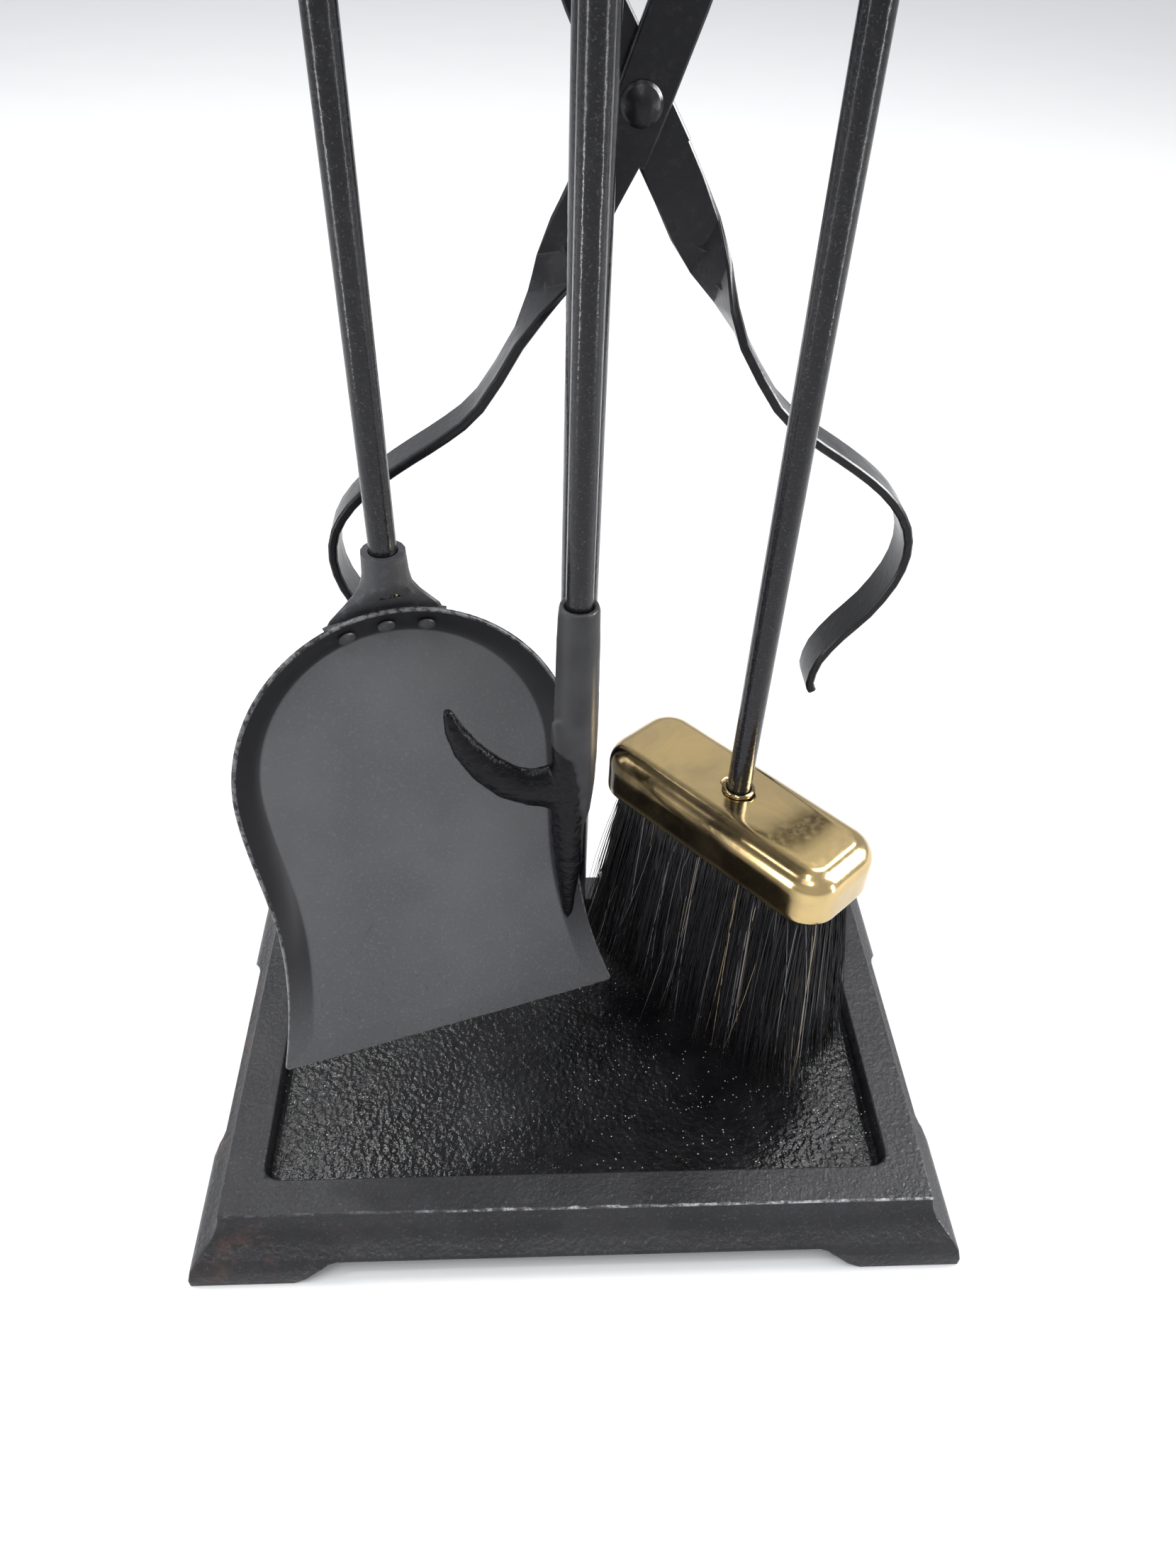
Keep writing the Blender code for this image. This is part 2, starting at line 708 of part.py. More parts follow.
def shovel(parent, at):
    collar_and_handle("shovel", ROD_R, parent, at)
    straight_rod("shovel", ROD_R, BRACKET_TOP_Z - 16 + GAP, parent, at)
    blade = shovel_blade(parent, at)
    bracket = shovel_bracket(parent, at)
    frame = pan_frame(at)
    back = PAN_SHEET + GAP + BRACKET_THICK + GAP
    front = -0.75
    for name, across in zip(("left", "middle", "right"), RIVET_ALONG):
        place, outward = lip_point(frame, across, 0.52, 0.0)
        facing = outward.to_track_quat("Z", "Y").to_euler()
        profile = (
            (0, back + 1.4),
            (1.9, back + 1.0),
            (2.8, back + 0.25),
            (2.8, back),
            (1.6, back),
            (1.6, front),
            (3.1, front),
            (2.9, front - 0.8),
            (1.7, front - 1.6),
            (0, front - 1.9),
        )
        turned(f"shovel_rivet_{name}", profile, STEEL, parent, place, facing, segments=12)
        for target in (blade, bracket):
            hole = cylinder(1.6 + GAP, -3, back + 4, segments=12)
            cutter = add_object(f"cutter_{target.name}_{name}", hole, None, parent, place, facing)
            cut(target, cutter)


def cap_rings(inset, low, high, edge):
    """Rounded rectangles up the side of the cap, and over its rounded top edge."""
    half_x, half_y = CAP_SIZE[0] / 2 - inset, CAP_SIZE[1] / 2 - inset
    rings = [rounded_rectangle(half_x, half_y, CAP_CORNER - inset, low)]
    steps = 4
    for i in range(steps + 1):
        angle = math.pi / 2 * i / steps
        shrink = edge * (1 - math.cos(angle))
        z = high - edge + edge * math.sin(angle)
        corner = max(CAP_CORNER - inset - shrink, 3.0)
        rings.append(rounded_rectangle(half_x - shrink, half_y - shrink, corner, z))
    return rings


def brush(parent, at):
    collar_and_handle("brush", ROD_R, parent, at)
    facing = (0, 0, BRUSH_TURN)
    low, high = CAP_Z
    inner = CAP_SHEET + 0.4
    cap = add_object("brush_cap", loft(cap_rings(0.0, low, high, CAP_ROUND)), BRASS, parent, at, facing)
    hollow = loft(cap_rings(CAP_SHEET, low - 3, high - CAP_SHEET, CAP_ROUND - CAP_SHEET))
    cut(cap, add_object("cutter_cap_hollow", hollow, None, parent, at, facing))
    rod_hole = add_object("cutter_cap_hole", cylinder(ROD_R + GAP, low - 5, high + 5), None, parent, at)
    cut(cap, rod_hole)
    block_low = BRISTLE_Z[1] + GAP
    block = loft(cap_rings(inner, block_low, high - inner, CAP_ROUND - inner))
    block = add_object("brush_block", block, WOOD, parent, at, facing)
    cut(block, add_object("cutter_block_hole", cylinder(ROD_R + GAP, low - 5, high + 5), None, parent, at))
    nut_pocket = cylinder(9.3, block_low - 2, block_low + 6)
    cut(block, add_object("cutter_nut_pocket", nut_pocket, None, parent, at))
    nut("brush_nut", 8.2, block_low + 0.2, block_low + 5.4, ROD_R + GAP, parent, at)
    straight_rod("brush", ROD_R, block_low + 0.2, parent, at)
    turned(
        "brush_ferrule",
        (
            (ROD_R + GAP + 0.5, high + 1.7),
            (6.0, high + 1.3),
            (6.3, high + 0.8),
            (6.3, high + GAP),
            (ROD_R + GAP, high + GAP),
            (ROD_R + GAP, high + 1.7),
        ),
        BRASS,
        parent,
        at,
    )
    bottom, top = BRISTLE_Z
    rings = []
    for z in (top, low - 0.5, 118.0, 90.0, 62.0, bottom):
        spread = max(0.0, (low - 0.5 - z) / (low - 0.5 - bottom)) ** 1.25
        half = [(a + (b - a) * spread) / 2 for a, b in zip(BRISTLE_TOP, BRISTLE_END)]
        rings.append(rounded_rectangle(half[0], half[1], min(half) * 0.72, z))
    add_object("brush_bristles", loft(rings), BRISTLE, parent, at, facing)


def jaw_line():
    """(outward, height) below the pivot, down one leg of the tongs."""
    points = (
        (50, -95),
        (62, -106),
        (75, -115),
        (88, -124.5),
        (98, -134),
        (105, -145),
        (107, -157),
        (104, -170),
        (96, -184),
        (86.5, -195),
        (78.5, -207),
        (76, -218),
        (77.5, -222.5),
    )
    return [Vector((x, z)) * JAW_SCALE for x, z in points]


def bar(path, flat_y, jaw_y, twist_from, twist_to, width_at):
    """A flat bar along (x, height) points from the pivot; it turns edge-on between two distances.

    The flat part lies at flat_y and the turned part at jaw_y. Going down a leg, the edges that face
    the other leg turn away from it, so that the legs can close.
    """
    rings = []
    gone = 0.0
    for i, point in enumerate(path):
        if i:
            gone += (point - path[i - 1]).length
        heading = (path[min(i + 1, len(path) - 1)] - path[max(i - 1, 0)]).normalized()
        turn = smooth_step((gone - twist_from) / (twist_to - twist_from))
        angle = math.pi / 2 * turn
        in_plane = Vector((heading.y, 0, -heading.x))
        depth = Vector((0, 1, 0))
        wide = in_plane * math.cos(angle) + depth * math.sin(angle)
        thin = depth * math.cos(angle) - in_plane * math.sin(angle)
        centre = Vector((point.x, flat_y + (jaw_y - flat_y) * turn, point.y))
        half_w = width_at(gone) / 2
        half_t = BAR_THICK / 2
        edge = 0.7
        corners = ((1, 1), (-1, 1), (-1, -1), (1, -1))
        ring = []
        for sx, sy in corners:
            long_first = sx * sy > 0
            a = centre + wide * sx * half_w + thin * sy * (half_t - edge)
            b = centre + wide * sx * (half_w - edge) + thin * sy * half_t
            ring += [a, b] if long_first else [b, a]
        rings.append(ring)
    return loft(rings)


def leaned(path, side, extra=0.0):
    """Turns the tongs' own (outward, height) points by their lean, about the pivot."""
    lean = TONGS_LEAN - extra
    turned_by = Matrix.Rotation(lean, 2)
    return [turned_by @ Vector((point.x * side, point.y)) for point in path]


def leg_path(side):
    """From the pivot to the jaw's tip, as closely spaced points."""
    straight = [Vector((0, 0)), Vector((12.4, -24)), Vector((23.8, -48)), Vector((35.6, -71))]
    extra = SWING_OPEN if side < 0 else 0.0
    return leaned(spline([*straight, *jaw_line()], per_span=2), side, extra)


def tongs_arms(parent, swing, at):
    front = -(BAR_THICK / 2 + GAP / 2)
    back = -front
    full = lambda gone: BAR_WIDTH
    pivot_hole = lambda name: add_object(
        name, cylinder(RIVET_R + GAP, -12, 12), None, parent, PIVOT, (math.pi / 2, 0, 0)
    )

    leg = add_object("tongs_fixed_arm", bar(leg_path(1), back, 0.0, *TWIST, full), STEEL, parent, PIVOT)
    rod_x = at[0] - PIVOT.x
    start = ((8, -14.5), (0, 0), (-8, 14.8), (-14, 26), (-17.5, 40))
    arm_up = leaned([Vector(point) for point in start], 1)
    arm_up += [Vector((rod_x - 0.6, 60)), Vector((rod_x, 80)), Vector((rod_x, 110)), Vector((rod_x, 139))]
    path = spline(arm_up, per_span=3)
    taper = lambda gone: BAR_WIDTH - (BAR_WIDTH - 8.0) * smooth_step((gone - 50) / 50)
    upper = bar(path, back, back, 500, 600, taper)
    join(leg, add_object("joined_fixed_upper", upper, None, parent, PIVOT))
    cut(leg, pivot_hole("cutter_fixed_pivot"))

    leg = add_object("tongs_swing_arm", bar(leg_path(-1), front, 0.0, *TWIST, full), STEEL, swing, PIVOT)
    lever = (
        (-6.2, -14.2),
        (0, 0),
        (10.5, 25),
        (19.5, 45),
        (38, 62),
        (64, 76),
        (92, 88),
        (116, 104),
        (124, 112),
    )
    lever = leaned([Vector(point) for point in lever], 1)
    path = spline(lever, per_span=3)
    slim = lambda gone: BAR_WIDTH - 10.4 * smooth_step((gone - 145) / 24)
    upper = bar(path, front, front, 500, 600, slim)
    join(leg, add_object("joined_swing_upper", upper, None, swing, PIVOT))
    cut(leg, pivot_hole("cutter_swing_pivot"))

    heading = (path[-1] - path[-2]).normalized()
    facing = (0, math.atan2(heading.x, heading.y), 0)
    tip = PIVOT + Vector((path[-1].x, front, path[-1].y))
    ball_r = 9.0
    ball = [(ball_r * math.sin(math.pi * i / 12), ball_r * math.cos(math.pi * i / 12)) for i in range(11)]
    deep = 1.0
    profile = [*ball, (5.6, -ball_r - 0.6), (4.5, -ball_r - 0.6), (4.5, deep), (0, deep)]
    seat = tip - Vector((heading.x, 0, heading.y)) * (deep - GAP)
    turned("tongs_swing_knob", profile, BRASS, swing, seat, facing)


def tongs(parent, swing, at):
    collar_and_handle("tongs", ROD_R, parent, at)
    tongs_arms(parent, swing, at)
    rod = straight_rod("tongs", ROD_R, TONGS_ROD_Z, parent, at)
    arm_y = PIVOT.y + BAR_THICK / 2 + GAP / 2
    half = BAR_THICK / 2 + GAP
    slot = box((-8, arm_y - half, TONGS_ROD_Z - 5), (8, arm_y + half, PIVOT.z + 139 + 2.0))
    cut(rod, add_object("cutter_rod_slot", slot, None, parent, (at[0], 0, 0)))
    rivet_z = TONGS_ROD_Z + 11
    facing = (math.pi / 2, 0, 0)
    hole = cylinder(1.5 + GAP, -12, 12, segments=12)
    place = (at[0], at[1], rivet_z)
    for target in ("tongs_rod", "tongs_fixed_arm"):
        cutter = add_object("cutter_rivet_" + target, hole.copy(), None, parent, place, facing)
        cut(bpy.data.objects[target], cutter)
    hole.free()
    reach = ROD_R + GAP
    profile = (
        (0, reach + 1.5),
        (1.7, reach + 1.1),
        (2.6, reach),
        (1.5, reach),
        (1.5, -reach),
        (2.6, -reach),
        (1.7, -reach - 1.1),
        (0, -reach - 1.5),
    )
    turned("tongs_rod_rivet", profile, STEEL, parent, place, facing, segments=12)
    stack = BAR_THICK + GAP / 2 + GAP
    dome = (
        (0, stack + 2.5),
        (3.2, stack + 2.0),
        (5.4, stack + 0.9),
        (6.5, stack),
        (RIVET_R, stack),
        (RIVET_R, -stack),
        (5.5, -stack),
        (4.6, -stack - 1.4),
        (0, -stack - 2.0),
    )
    turned("tongs_pivot_rivet", dome, STEEL, parent, PIVOT, facing)


def main():
    clear_scene()
    forks = fork_places()
    stand = empty("stand", (0, 0, 0))
    base_casting(stand)
    column(stand)
    tool_holder(stand, forks)
    finial(stand)
    hanging = (("poker", poker, 0.0), ("shovel", shovel, SHOVEL_LEAN), ("brush", brush, BRUSH_LEAN))
    for tool, make, lean in hanging:
        centre = forks[tool][0]
        hanger = empty(tool + "_tool", (*centre, COLLAR_Z[0]))
        make(hanger, (*centre, 0.0))
        hanger.rotation_euler = (0.0, lean, 0.0)
    centre = forks["tongs"][0]
    hanger = empty("tongs_tool", (*centre, COLLAR_Z[0]))
    tongs(hanger, empty("tongs_swing", PIVOT, hanger), (*centre, 0.0))


main()
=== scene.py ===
"""Looks of the fireplace tool set: detailed pieces, materials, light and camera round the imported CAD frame.

Shapes are worked out in millimetres, in the frame's own axes, and written to meshes in metres.
"""

import math

import bmesh
import bpy
import numpy as np
from mathutils import Matrix, Vector, noise


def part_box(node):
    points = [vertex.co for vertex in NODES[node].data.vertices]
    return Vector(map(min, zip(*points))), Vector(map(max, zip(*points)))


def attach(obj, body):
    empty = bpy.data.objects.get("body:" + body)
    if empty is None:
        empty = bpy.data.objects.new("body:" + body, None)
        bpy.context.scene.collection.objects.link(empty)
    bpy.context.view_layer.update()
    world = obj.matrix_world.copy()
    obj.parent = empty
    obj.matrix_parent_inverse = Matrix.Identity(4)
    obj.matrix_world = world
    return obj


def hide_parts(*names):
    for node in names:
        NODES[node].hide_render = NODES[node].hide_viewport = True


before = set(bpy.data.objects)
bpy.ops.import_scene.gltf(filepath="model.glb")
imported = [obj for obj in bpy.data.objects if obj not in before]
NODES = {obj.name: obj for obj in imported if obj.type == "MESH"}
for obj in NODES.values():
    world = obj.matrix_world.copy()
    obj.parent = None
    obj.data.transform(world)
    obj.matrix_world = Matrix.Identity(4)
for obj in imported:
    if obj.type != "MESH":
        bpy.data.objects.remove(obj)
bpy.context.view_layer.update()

MM = 0.001
TOOLS = ("poker", "shovel", "brush", "tongs")

# Brush, as the CAD has it
BRUSH_TURN = math.radians(-48.0)
BRUSH_LEAN = math.radians(0.64)
CAP_HALF = (55.0, 21.0)
CAP_Z = (137.0, 158.0)
CAP_ROUND = 9.0
CAP_CORNER = 13.0
CAP_SHEET = 1.5
TUFT_TOP = (49.0, 16.6)
TUFT_END = (60.5, 24.2)
TUFT_Z = (39.0, 141.5)

# Shovel pan, as the CAD has it
SHOVEL_LEAN = math.radians(-0.66)
PAN_TURN = math.radians(17.6)
PAN_TILT = math.radians(17.0)
PAN_TOP_Z = 235.8
PAN_FORWARD = 4.8
PAN_ASIDE = -2.0
PAN_ARC_R = 60.2
PAN_WAIST = (56.3, 111.0)
PAN_LENGTH = 168.0
PAN_EDGE_HALF = 66.0
PAN_CORNER = 1.2
PAN_DEPTH = 9.0
PAN_LIP = 9.5
PAN_SHEET = 1.5

# Base, as the CAD has it
TOP_HALF = (140.0, 87.5)
TRAY_HALF = (125.0, 72.6)
BASE_HEIGHT = 28.0


# Small helpers


def smooth_step(t):
    t = min(max(t, 0.0), 1.0)
    return t * t * (3 - 2 * t)


def centre_of(node):
    low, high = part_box(node)
    return (Vector(low) + Vector(high)) / 2 / MM


def hanging(tool, lean, turn=0.0):
    """Where a tool's own upright millimetre coordinates go: turned about its rod, leaned from its collar."""
    collar = centre_of(tool + "_collar")
    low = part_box(tool + "_collar")[0][2] / MM
    place = Matrix.Translation((collar.x, collar.y, low))
    leaned = Matrix.Rotation(lean, 4, "Y") @ Matrix.Translation((0, 0, -low))
    return place @ leaned @ Matrix.Rotation(turn, 4, "Z")


def shade(mesh, angle):
    mesh.shade_smooth()
    mesh.set_sharp_from_angle(angle=math.radians(angle))


def piece(name, mesh, finish, body, stands_for=(), angle=40):
    """Links a mesh as a piece that rides on a body."""
    shade(mesh, angle)
    made = bpy.data.objects.new(name, mesh)
    bpy.context.scene.collection.objects.link(made)
    mesh.materials.clear()
    mesh.materials.append(finish)
    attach(made, body)
    if stands_for:
        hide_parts(*stands_for)
    return made


def mesh_of(name, bm, place=None):
    """A millimetre bmesh as a mesh in metres."""
    if place:
        bm.transform(place)
    bmesh.ops.scale(bm, vec=(MM, MM, MM), verts=bm.verts)
    mesh = bpy.data.meshes.new(name)
    bm.to_mesh(mesh)
    bm.free()
    return mesh


def join_rings(bm, rings):
    """Quads between rings that have the same number of points."""
    rows = [[bm.verts.new(point) for point in ring] for ring in rings]
    count = len(rows[0])
    for low, high in zip(rows, rows[1:]):
        for i in range(count):
            j = (i + 1) % count
            bm.faces.new((low[i], low[j], high[j], high[i]))
    return rows


def cad_copy(node):
    """A CAD node's shape as a clean bmesh in millimetres: welded, with its flat faces whole."""
    bm = bmesh.new()
    bm.from_mesh(NODES[node].data)
    bmesh.ops.scale(bm, vec=(1 / MM,) * 3, verts=bm.verts)
    bmesh.ops.remove_doubles(bm, verts=bm.verts, dist=0.004)
    bmesh.ops.dissolve_limit(bm, angle_limit=math.radians(0.4), verts=bm.verts, edges=bm.edges)
    bmesh.ops.recalc_face_normals(bm, faces=bm.faces)
    return bm


def softened(node, finish, body, width=0.5, segments=2, angle=32):
    """A CAD node again, with its hard edges rounded as casting, forging or paint leaves them."""
    made = piece(node + "_soft", mesh_of(node + "_soft", cad_copy(node)), finish, body, (node,))
    bevel = made.modifiers.new("edges", "BEVEL")
    bevel.width = width * MM
    bevel.segments = segments
    bevel.limit_method = "ANGLE"
    bevel.angle_limit = math.radians(angle)
    bevel.miter_outer = "MITER_ARC"
    normals = made.modifiers.new("normals", "WEIGHTED_NORMAL")
    normals.keep_sharp = True
    return made


# Materials


class Finish:
    """A Principled material and the nodes that feed it, in the piece's own coordinates."""

    def __init__(self, name, colour, roughness, metallic=0.0, **more):
        self.material = bpy.data.materials.new(name)
        self.material.use_nodes = True
        self.tree = self.material.node_tree
        self.shader = self.tree.nodes["Principled BSDF"]
        self.set("Base Color", (*colour, 1.0))
        self.set("Roughness", roughness)
        self.set("Metallic", metallic)
        for socket, value in more.items():
            self.set(socket.replace("_", " "), value)
        self.place = self.tree.nodes.new("ShaderNodeTexCoord").outputs["Object"]
        split = self.new("ShaderNodeSeparateXYZ", Vector=self.place)
        self.x, self.y, self.z = split.outputs

    def set(self, socket, value):
        self.shader.inputs[socket].default_value = value

    def feed(self, socket, value):
        self.tree.links.new(value, self.shader.inputs[socket])

    def new(self, kind, **inputs):
        node = self.tree.nodes.new(kind)
        for name, value in inputs.items():
            self.put(node.inputs[name.replace("_", " ")], value)
        return node

    def put(self, socket, value):
        if isinstance(value, bpy.types.NodeSocket):
            self.tree.links.new(value, socket)
        else:
            socket.default_value = value

    def maths(self, operation, *values):
        node = self.tree.nodes.new("ShaderNodeMath")
        node.operation = operation
        for socket, value in zip(node.inputs, values):
            self.put(socket, value)
        return node.outputs[0]

    def noise(self, scale, detail=2.0, rough=0.5, stretch=None, distortion=0.0):
        """Noise with about `scale` features to the metre."""
        place = self.place
        if stretch:
            place = self.new("ShaderNodeMapping", Vector=place, Scale=stretch).outputs[0]
        settings = dict(Scale=scale, Detail=detail, Roughness=rough, Distortion=distortion)
        return self.new("ShaderNodeTexNoise", Vector=place, **settings).outputs[0]

    def cells(self, scale):
        """Cells, about `scale` to the metre: how far a point is from its cell's centre, and a colour."""
        return self.new("ShaderNodeTexVoronoi", Vector=self.place, Scale=scale).outputs

    def attribute(self, name):
        node = self.tree.nodes.new("ShaderNodeAttribute")
        node.attribute_name = name
        return node.outputs["Fac"]

    def spread(self, value, low, high, to_low=0.0, to_high=1.0):
        """A value from one range to another, eased and held at both ends."""
        node = self.new(
            "ShaderNodeMapRange", Value=value, From_Min=low, From_Max=high, To_Min=to_low, To_Max=to_high
        )
        node.interpolation_type = "SMOOTHSTEP"
        return node.outputs[0]

    def blend(self, share, a, b):
        node = self.tree.nodes.new("ShaderNodeMix")
        node.data_type = "RGBA"
        colour = lambda value: (*value, 1.0) if isinstance(value, tuple) else value
        self.put(node.inputs[0], share)
        self.put(node.inputs[6], colour(a))
        self.put(node.inputs[7], colour(b))
        return node.outputs[2]

    def blend_value(self, share, a, b):
        node = self.tree.nodes.new("ShaderNodeMix")
        self.put(node.inputs[0], share)
        self.put(node.inputs[2], a)
        self.put(node.inputs[3], b)
        return node.outputs[0]

    def bump(self, *heights):
        """Bumps of (height, strength, depth in millimetres), one on another."""
        normal = None
        for height, strength, depth in heights:
            node = self.new("ShaderNodeBump", Height=height, Strength=strength, Distance=depth * MM)
            if normal:
                self.tree.links.new(normal, node.inputs["Normal"])
            normal = node.outputs[0]
        self.feed("Normal", normal)


def cast_base_finish():
    """Textured black paint on the base: sandy satin on the rim, glossy orange peel in the tray."""
    f = Finish("base_iron_paint", (0.03, 0.03, 0.032), 0.5, 0.0, Specular_IOR_Level=0.21)
    beside = f.maths("SUBTRACT", f.maths("ABSOLUTE", f.x), TRAY_HALF[0] * MM)
    ahead = f.maths("SUBTRACT", f.maths("ABSOLUTE", f.y), TRAY_HALF[1] * MM)
    outside = f.maths("MAXIMUM", beside, ahead)
    in_tray = f.spread(outside, 0.0006, -0.0012)
    sand = f.noise(820, 3.0, 0.6)
    patches = f.noise(38, 3.0, 0.6)
    rim = f.blend(f.spread(patches, 0.35, 0.7), (0.018, 0.018, 0.020), (0.027, 0.027, 0.030))
    rim = f.blend(f.spread(sand, 0.55, 0.78), rim, (0.062, 0.062, 0.066))
    tray = f.blend(f.spread(patches, 0.3, 0.7), (0.003, 0.003, 0.0035), (0.008, 0.008, 0.009))
    colour = f.blend(in_tray, rim, tray)

    # Rust shows a little on the left end of the front and on the left side
    rust_spot = f.maths("MULTIPLY", f.spread(f.noise(95, 4.0, 0.7), 0.5, 0.72), f.spread(f.x, -0.06, -0.14))
    outer = f.spread(outside, 0.0135, 0.017)
    rust = f.maths("MULTIPLY", f.maths("MULTIPLY", rust_spot, outer), 0.45)
    colour = f.blend(rust, colour, (0.10, 0.052, 0.040))

    # Painted highlight along the top front edge, broken and brightest on the right, where the edge catches
    # the light; the paint is also worn there, and glossier
    wander = f.spread(f.noise(120, 3.0, 0.6), 0.3, 0.7, -0.5 * MM, 0.5 * MM)
    to_front = f.maths("ABSOLUTE", f.maths("ADD", f.maths("ADD", f.y, (TOP_HALF[1] + 0.1) * MM), wander))
    near_front = f.spread(to_front, 0.0009, 0.0002)
    near_top = f.spread(f.z, (BASE_HEIGHT - 1.3) * MM, (BASE_HEIGHT - 0.5) * MM)
    broken = f.spread(f.noise(170, 6.0, 0.85), 0.42, 0.62, 0.05, 1.0)
    right = f.spread(f.x, -0.075, -0.035, 0.12, 1.0)
    wear_and_highlight = f.maths("MULTIPLY", f.maths("MULTIPLY", near_front, near_top), f.maths("MULTIPLY", broken, right))
    colour = f.blend(wear_and_highlight, colour, (0.5, 0.5, 0.51))

    # Painted glints: small pale specks, gathered in patches in the tray, stand in for glints on its glossy
    # paint
    glint_cells = f.cells(760)
    small = f.spread(glint_cells["Distance"], 0.26, 0.12)
    chosen = f.spread(f.new("ShaderNodeSeparateColor", Color=glint_cells["Color"]).outputs[0], 0.83, 0.87)
    gathered = f.spread(f.noise(20, 2.0), 0.4, 0.62, 0.12, 1.0)
    grain = f.maths("MULTIPLY", f.maths("MULTIPLY", small, chosen), f.maths("MULTIPLY", gathered, in_tray))
    colour = f.blend(grain, colour, (0.55, 0.55, 0.57))
    f.feed("Base Color", colour)

    rim_rough = f.spread(sand, 0.3, 0.7, 0.46, 0.32)
    rough = f.blend_value(in_tray, rim_rough, f.spread(patches, 0.3, 0.7, 0.18, 0.28))
    f.feed("Roughness", f.blend_value(wear_and_highlight, rough, 0.3))
    peel = f.noise(430, 2.0, 0.5)
    f.bump(
        (peel, f.blend_value(in_tray, 0.85, 0.95), 0.55),
        (sand, f.blend_value(in_tray, 0.8, 0.2), 0.25),
    )
    return f.material


def painted_finish(name, colour, gloss, peel=0.25, speckle=0.0, shine=0.25):
    """Black paint on steel, dimpled, with faint runs along it and a little dust.

    gloss is the least roughness, peel the depth of the dimples, speckle how far pale specks show, painted
    glints on the dimpled paint.
    """
    f = Finish(name, colour, gloss, 0.0, Specular_IOR_Level=shine)
    dust = f.spread(f.noise(300, 4.0, 0.65), 0.5, 0.78)
    lighter = tuple(min(1.0, c * 2.4 + 0.012) for c in colour)
    tone = f.blend(f.maths("MULTIPLY", dust, 0.55), colour, lighter)
    if speckle:
        # Painted glints: pale specks stand in for light caught by the dimples
        glint_spots = f.maths("MULTIPLY", f.spread(f.noise(1500, 2.0), 0.6, 0.7), speckle)
        tone = f.blend(glint_spots, tone, (0.32, 0.32, 0.33))
    f.feed("Base Color", tone)
    f.feed("Roughness", f.spread(f.noise(55, 3.0, 0.6, stretch=(1, 1, 0.25)), 0.3, 0.75, gloss, gloss + 0.18))
    f.bump((f.noise(460, 3.0, 0.55), peel, 0.3), (f.noise(120, 2.0, stretch=(1, 1, 0.2)), 0.2, 0.15))
    return f.material


def holder_finish():
    """Cast and painted holder, with a sandy skin like the base's rim."""
    f = Finish("holder_iron_paint", (0.03, 0.03, 0.032), 0.45, 0.0, Specular_IOR_Level=0.3)
    sand = f.noise(800, 3.0, 0.6)
    patches = f.noise(60, 3.0, 0.6)
    tone = f.blend(f.spread(patches, 0.35, 0.7), (0.02, 0.02, 0.022), (0.042, 0.042, 0.045))
    f.feed("Base Color", f.blend(f.spread(sand, 0.55, 0.75), tone, (0.075, 0.075, 0.08)))
    f.feed("Roughness", f.spread(sand, 0.3, 0.7, 0.55, 0.38))
    f.bump((sand, 0.5, 0.25), (f.noise(260, 2.0), 0.35, 0.4))
    return f.material


def pan_finish():
    """Satin grey sheet: a lighter floor, a lip darkened with painted shade, and thin scratches where ash is
    scraped off.
    """
    f = Finish("pan_steel_paint", (0.1, 0.1, 0.105), 0.42, 0.0, Specular_IOR_Level=0.2)
    grain = f.noise(900, 3.0, 0.6)
    cloud = f.noise(16, 3.0, 0.55)
    floor = f.blend(f.spread(cloud, 0.32, 0.7), (0.088, 0.088, 0.094), (0.118, 0.118, 0.123))
    floor = f.blend(f.spread(f.z, 0.17, 0.05, 0.0, 0.6), floor, (0.058, 0.058, 0.062))
    floor = f.blend(f.spread(grain, 0.5, 0.8, 0.0, 0.6), floor, (0.15, 0.15, 0.155))
    # Painted shade: the sloping lip is coloured darker than the floor, as its tilt takes less light
    lip = f.blend(f.spread(cloud, 0.3, 0.7), (0.010, 0.010, 0.012), (0.018, 0.018, 0.021))
    tone = f.blend(f.attribute("lip"), floor, lip)
    scratch = f.spread(f.noise(70, 2.0, 0.4, stretch=(9.0, 9.0, 0.5), distortion=0.6), 0.70, 0.735)
    low = f.spread(f.z, 0.135, 0.07)
    scratch = f.maths("MULTIPLY", f.maths("MULTIPLY", scratch, low), 0.5)
    tone = f.blend(scratch, tone, (0.028, 0.028, 0.03))
    edge = f.attribute("edge")
    nibbled = f.spread(f.noise(330, 3.0, 0.7), 0.4, 0.6)
    tone = f.blend(f.maths("MULTIPLY", edge, nibbled), tone, (0.34, 0.34, 0.35))
    f.feed("Base Color", tone)
    f.feed("Roughness", f.spread(cloud, 0.3, 0.7, 0.46, 0.36))
    f.bump((grain, 0.12, 0.08), (f.noise(30, 2.0), 0.25, 0.6))
    return f.material


def forging_finish():
    """The poker's head: a smooth grey sleeve, and rough glossy black where it was forged."""
    f = Finish("forged_iron_paint", (0.02, 0.02, 0.022), 0.35, 0.0, Specular_IOR_Level=0.14)
    rough = f.attribute("rough")
    pits = f.noise(560, 3.0, 0.6)
    grey = f.blend(f.spread(f.noise(60, 3.0), 0.3, 0.7), (0.034, 0.034, 0.036), (0.050, 0.050, 0.052))
    black = f.blend(f.spread(pits, 0.56, 0.8), (0.0018, 0.0018, 0.0028), (0.012, 0.012, 0.015))
    f.feed("Base Color", f.blend(rough, grey, black))
    f.feed("Roughness", f.blend_value(rough, f.spread(pits, 0.3, 0.7, 0.42, 0.34), 0.24))
    f.bump((pits, f.blend_value(rough, 0.1, 0.75), 0.5), (f.noise(1300, 2.0), 0.12, 0.1))
    return f.material


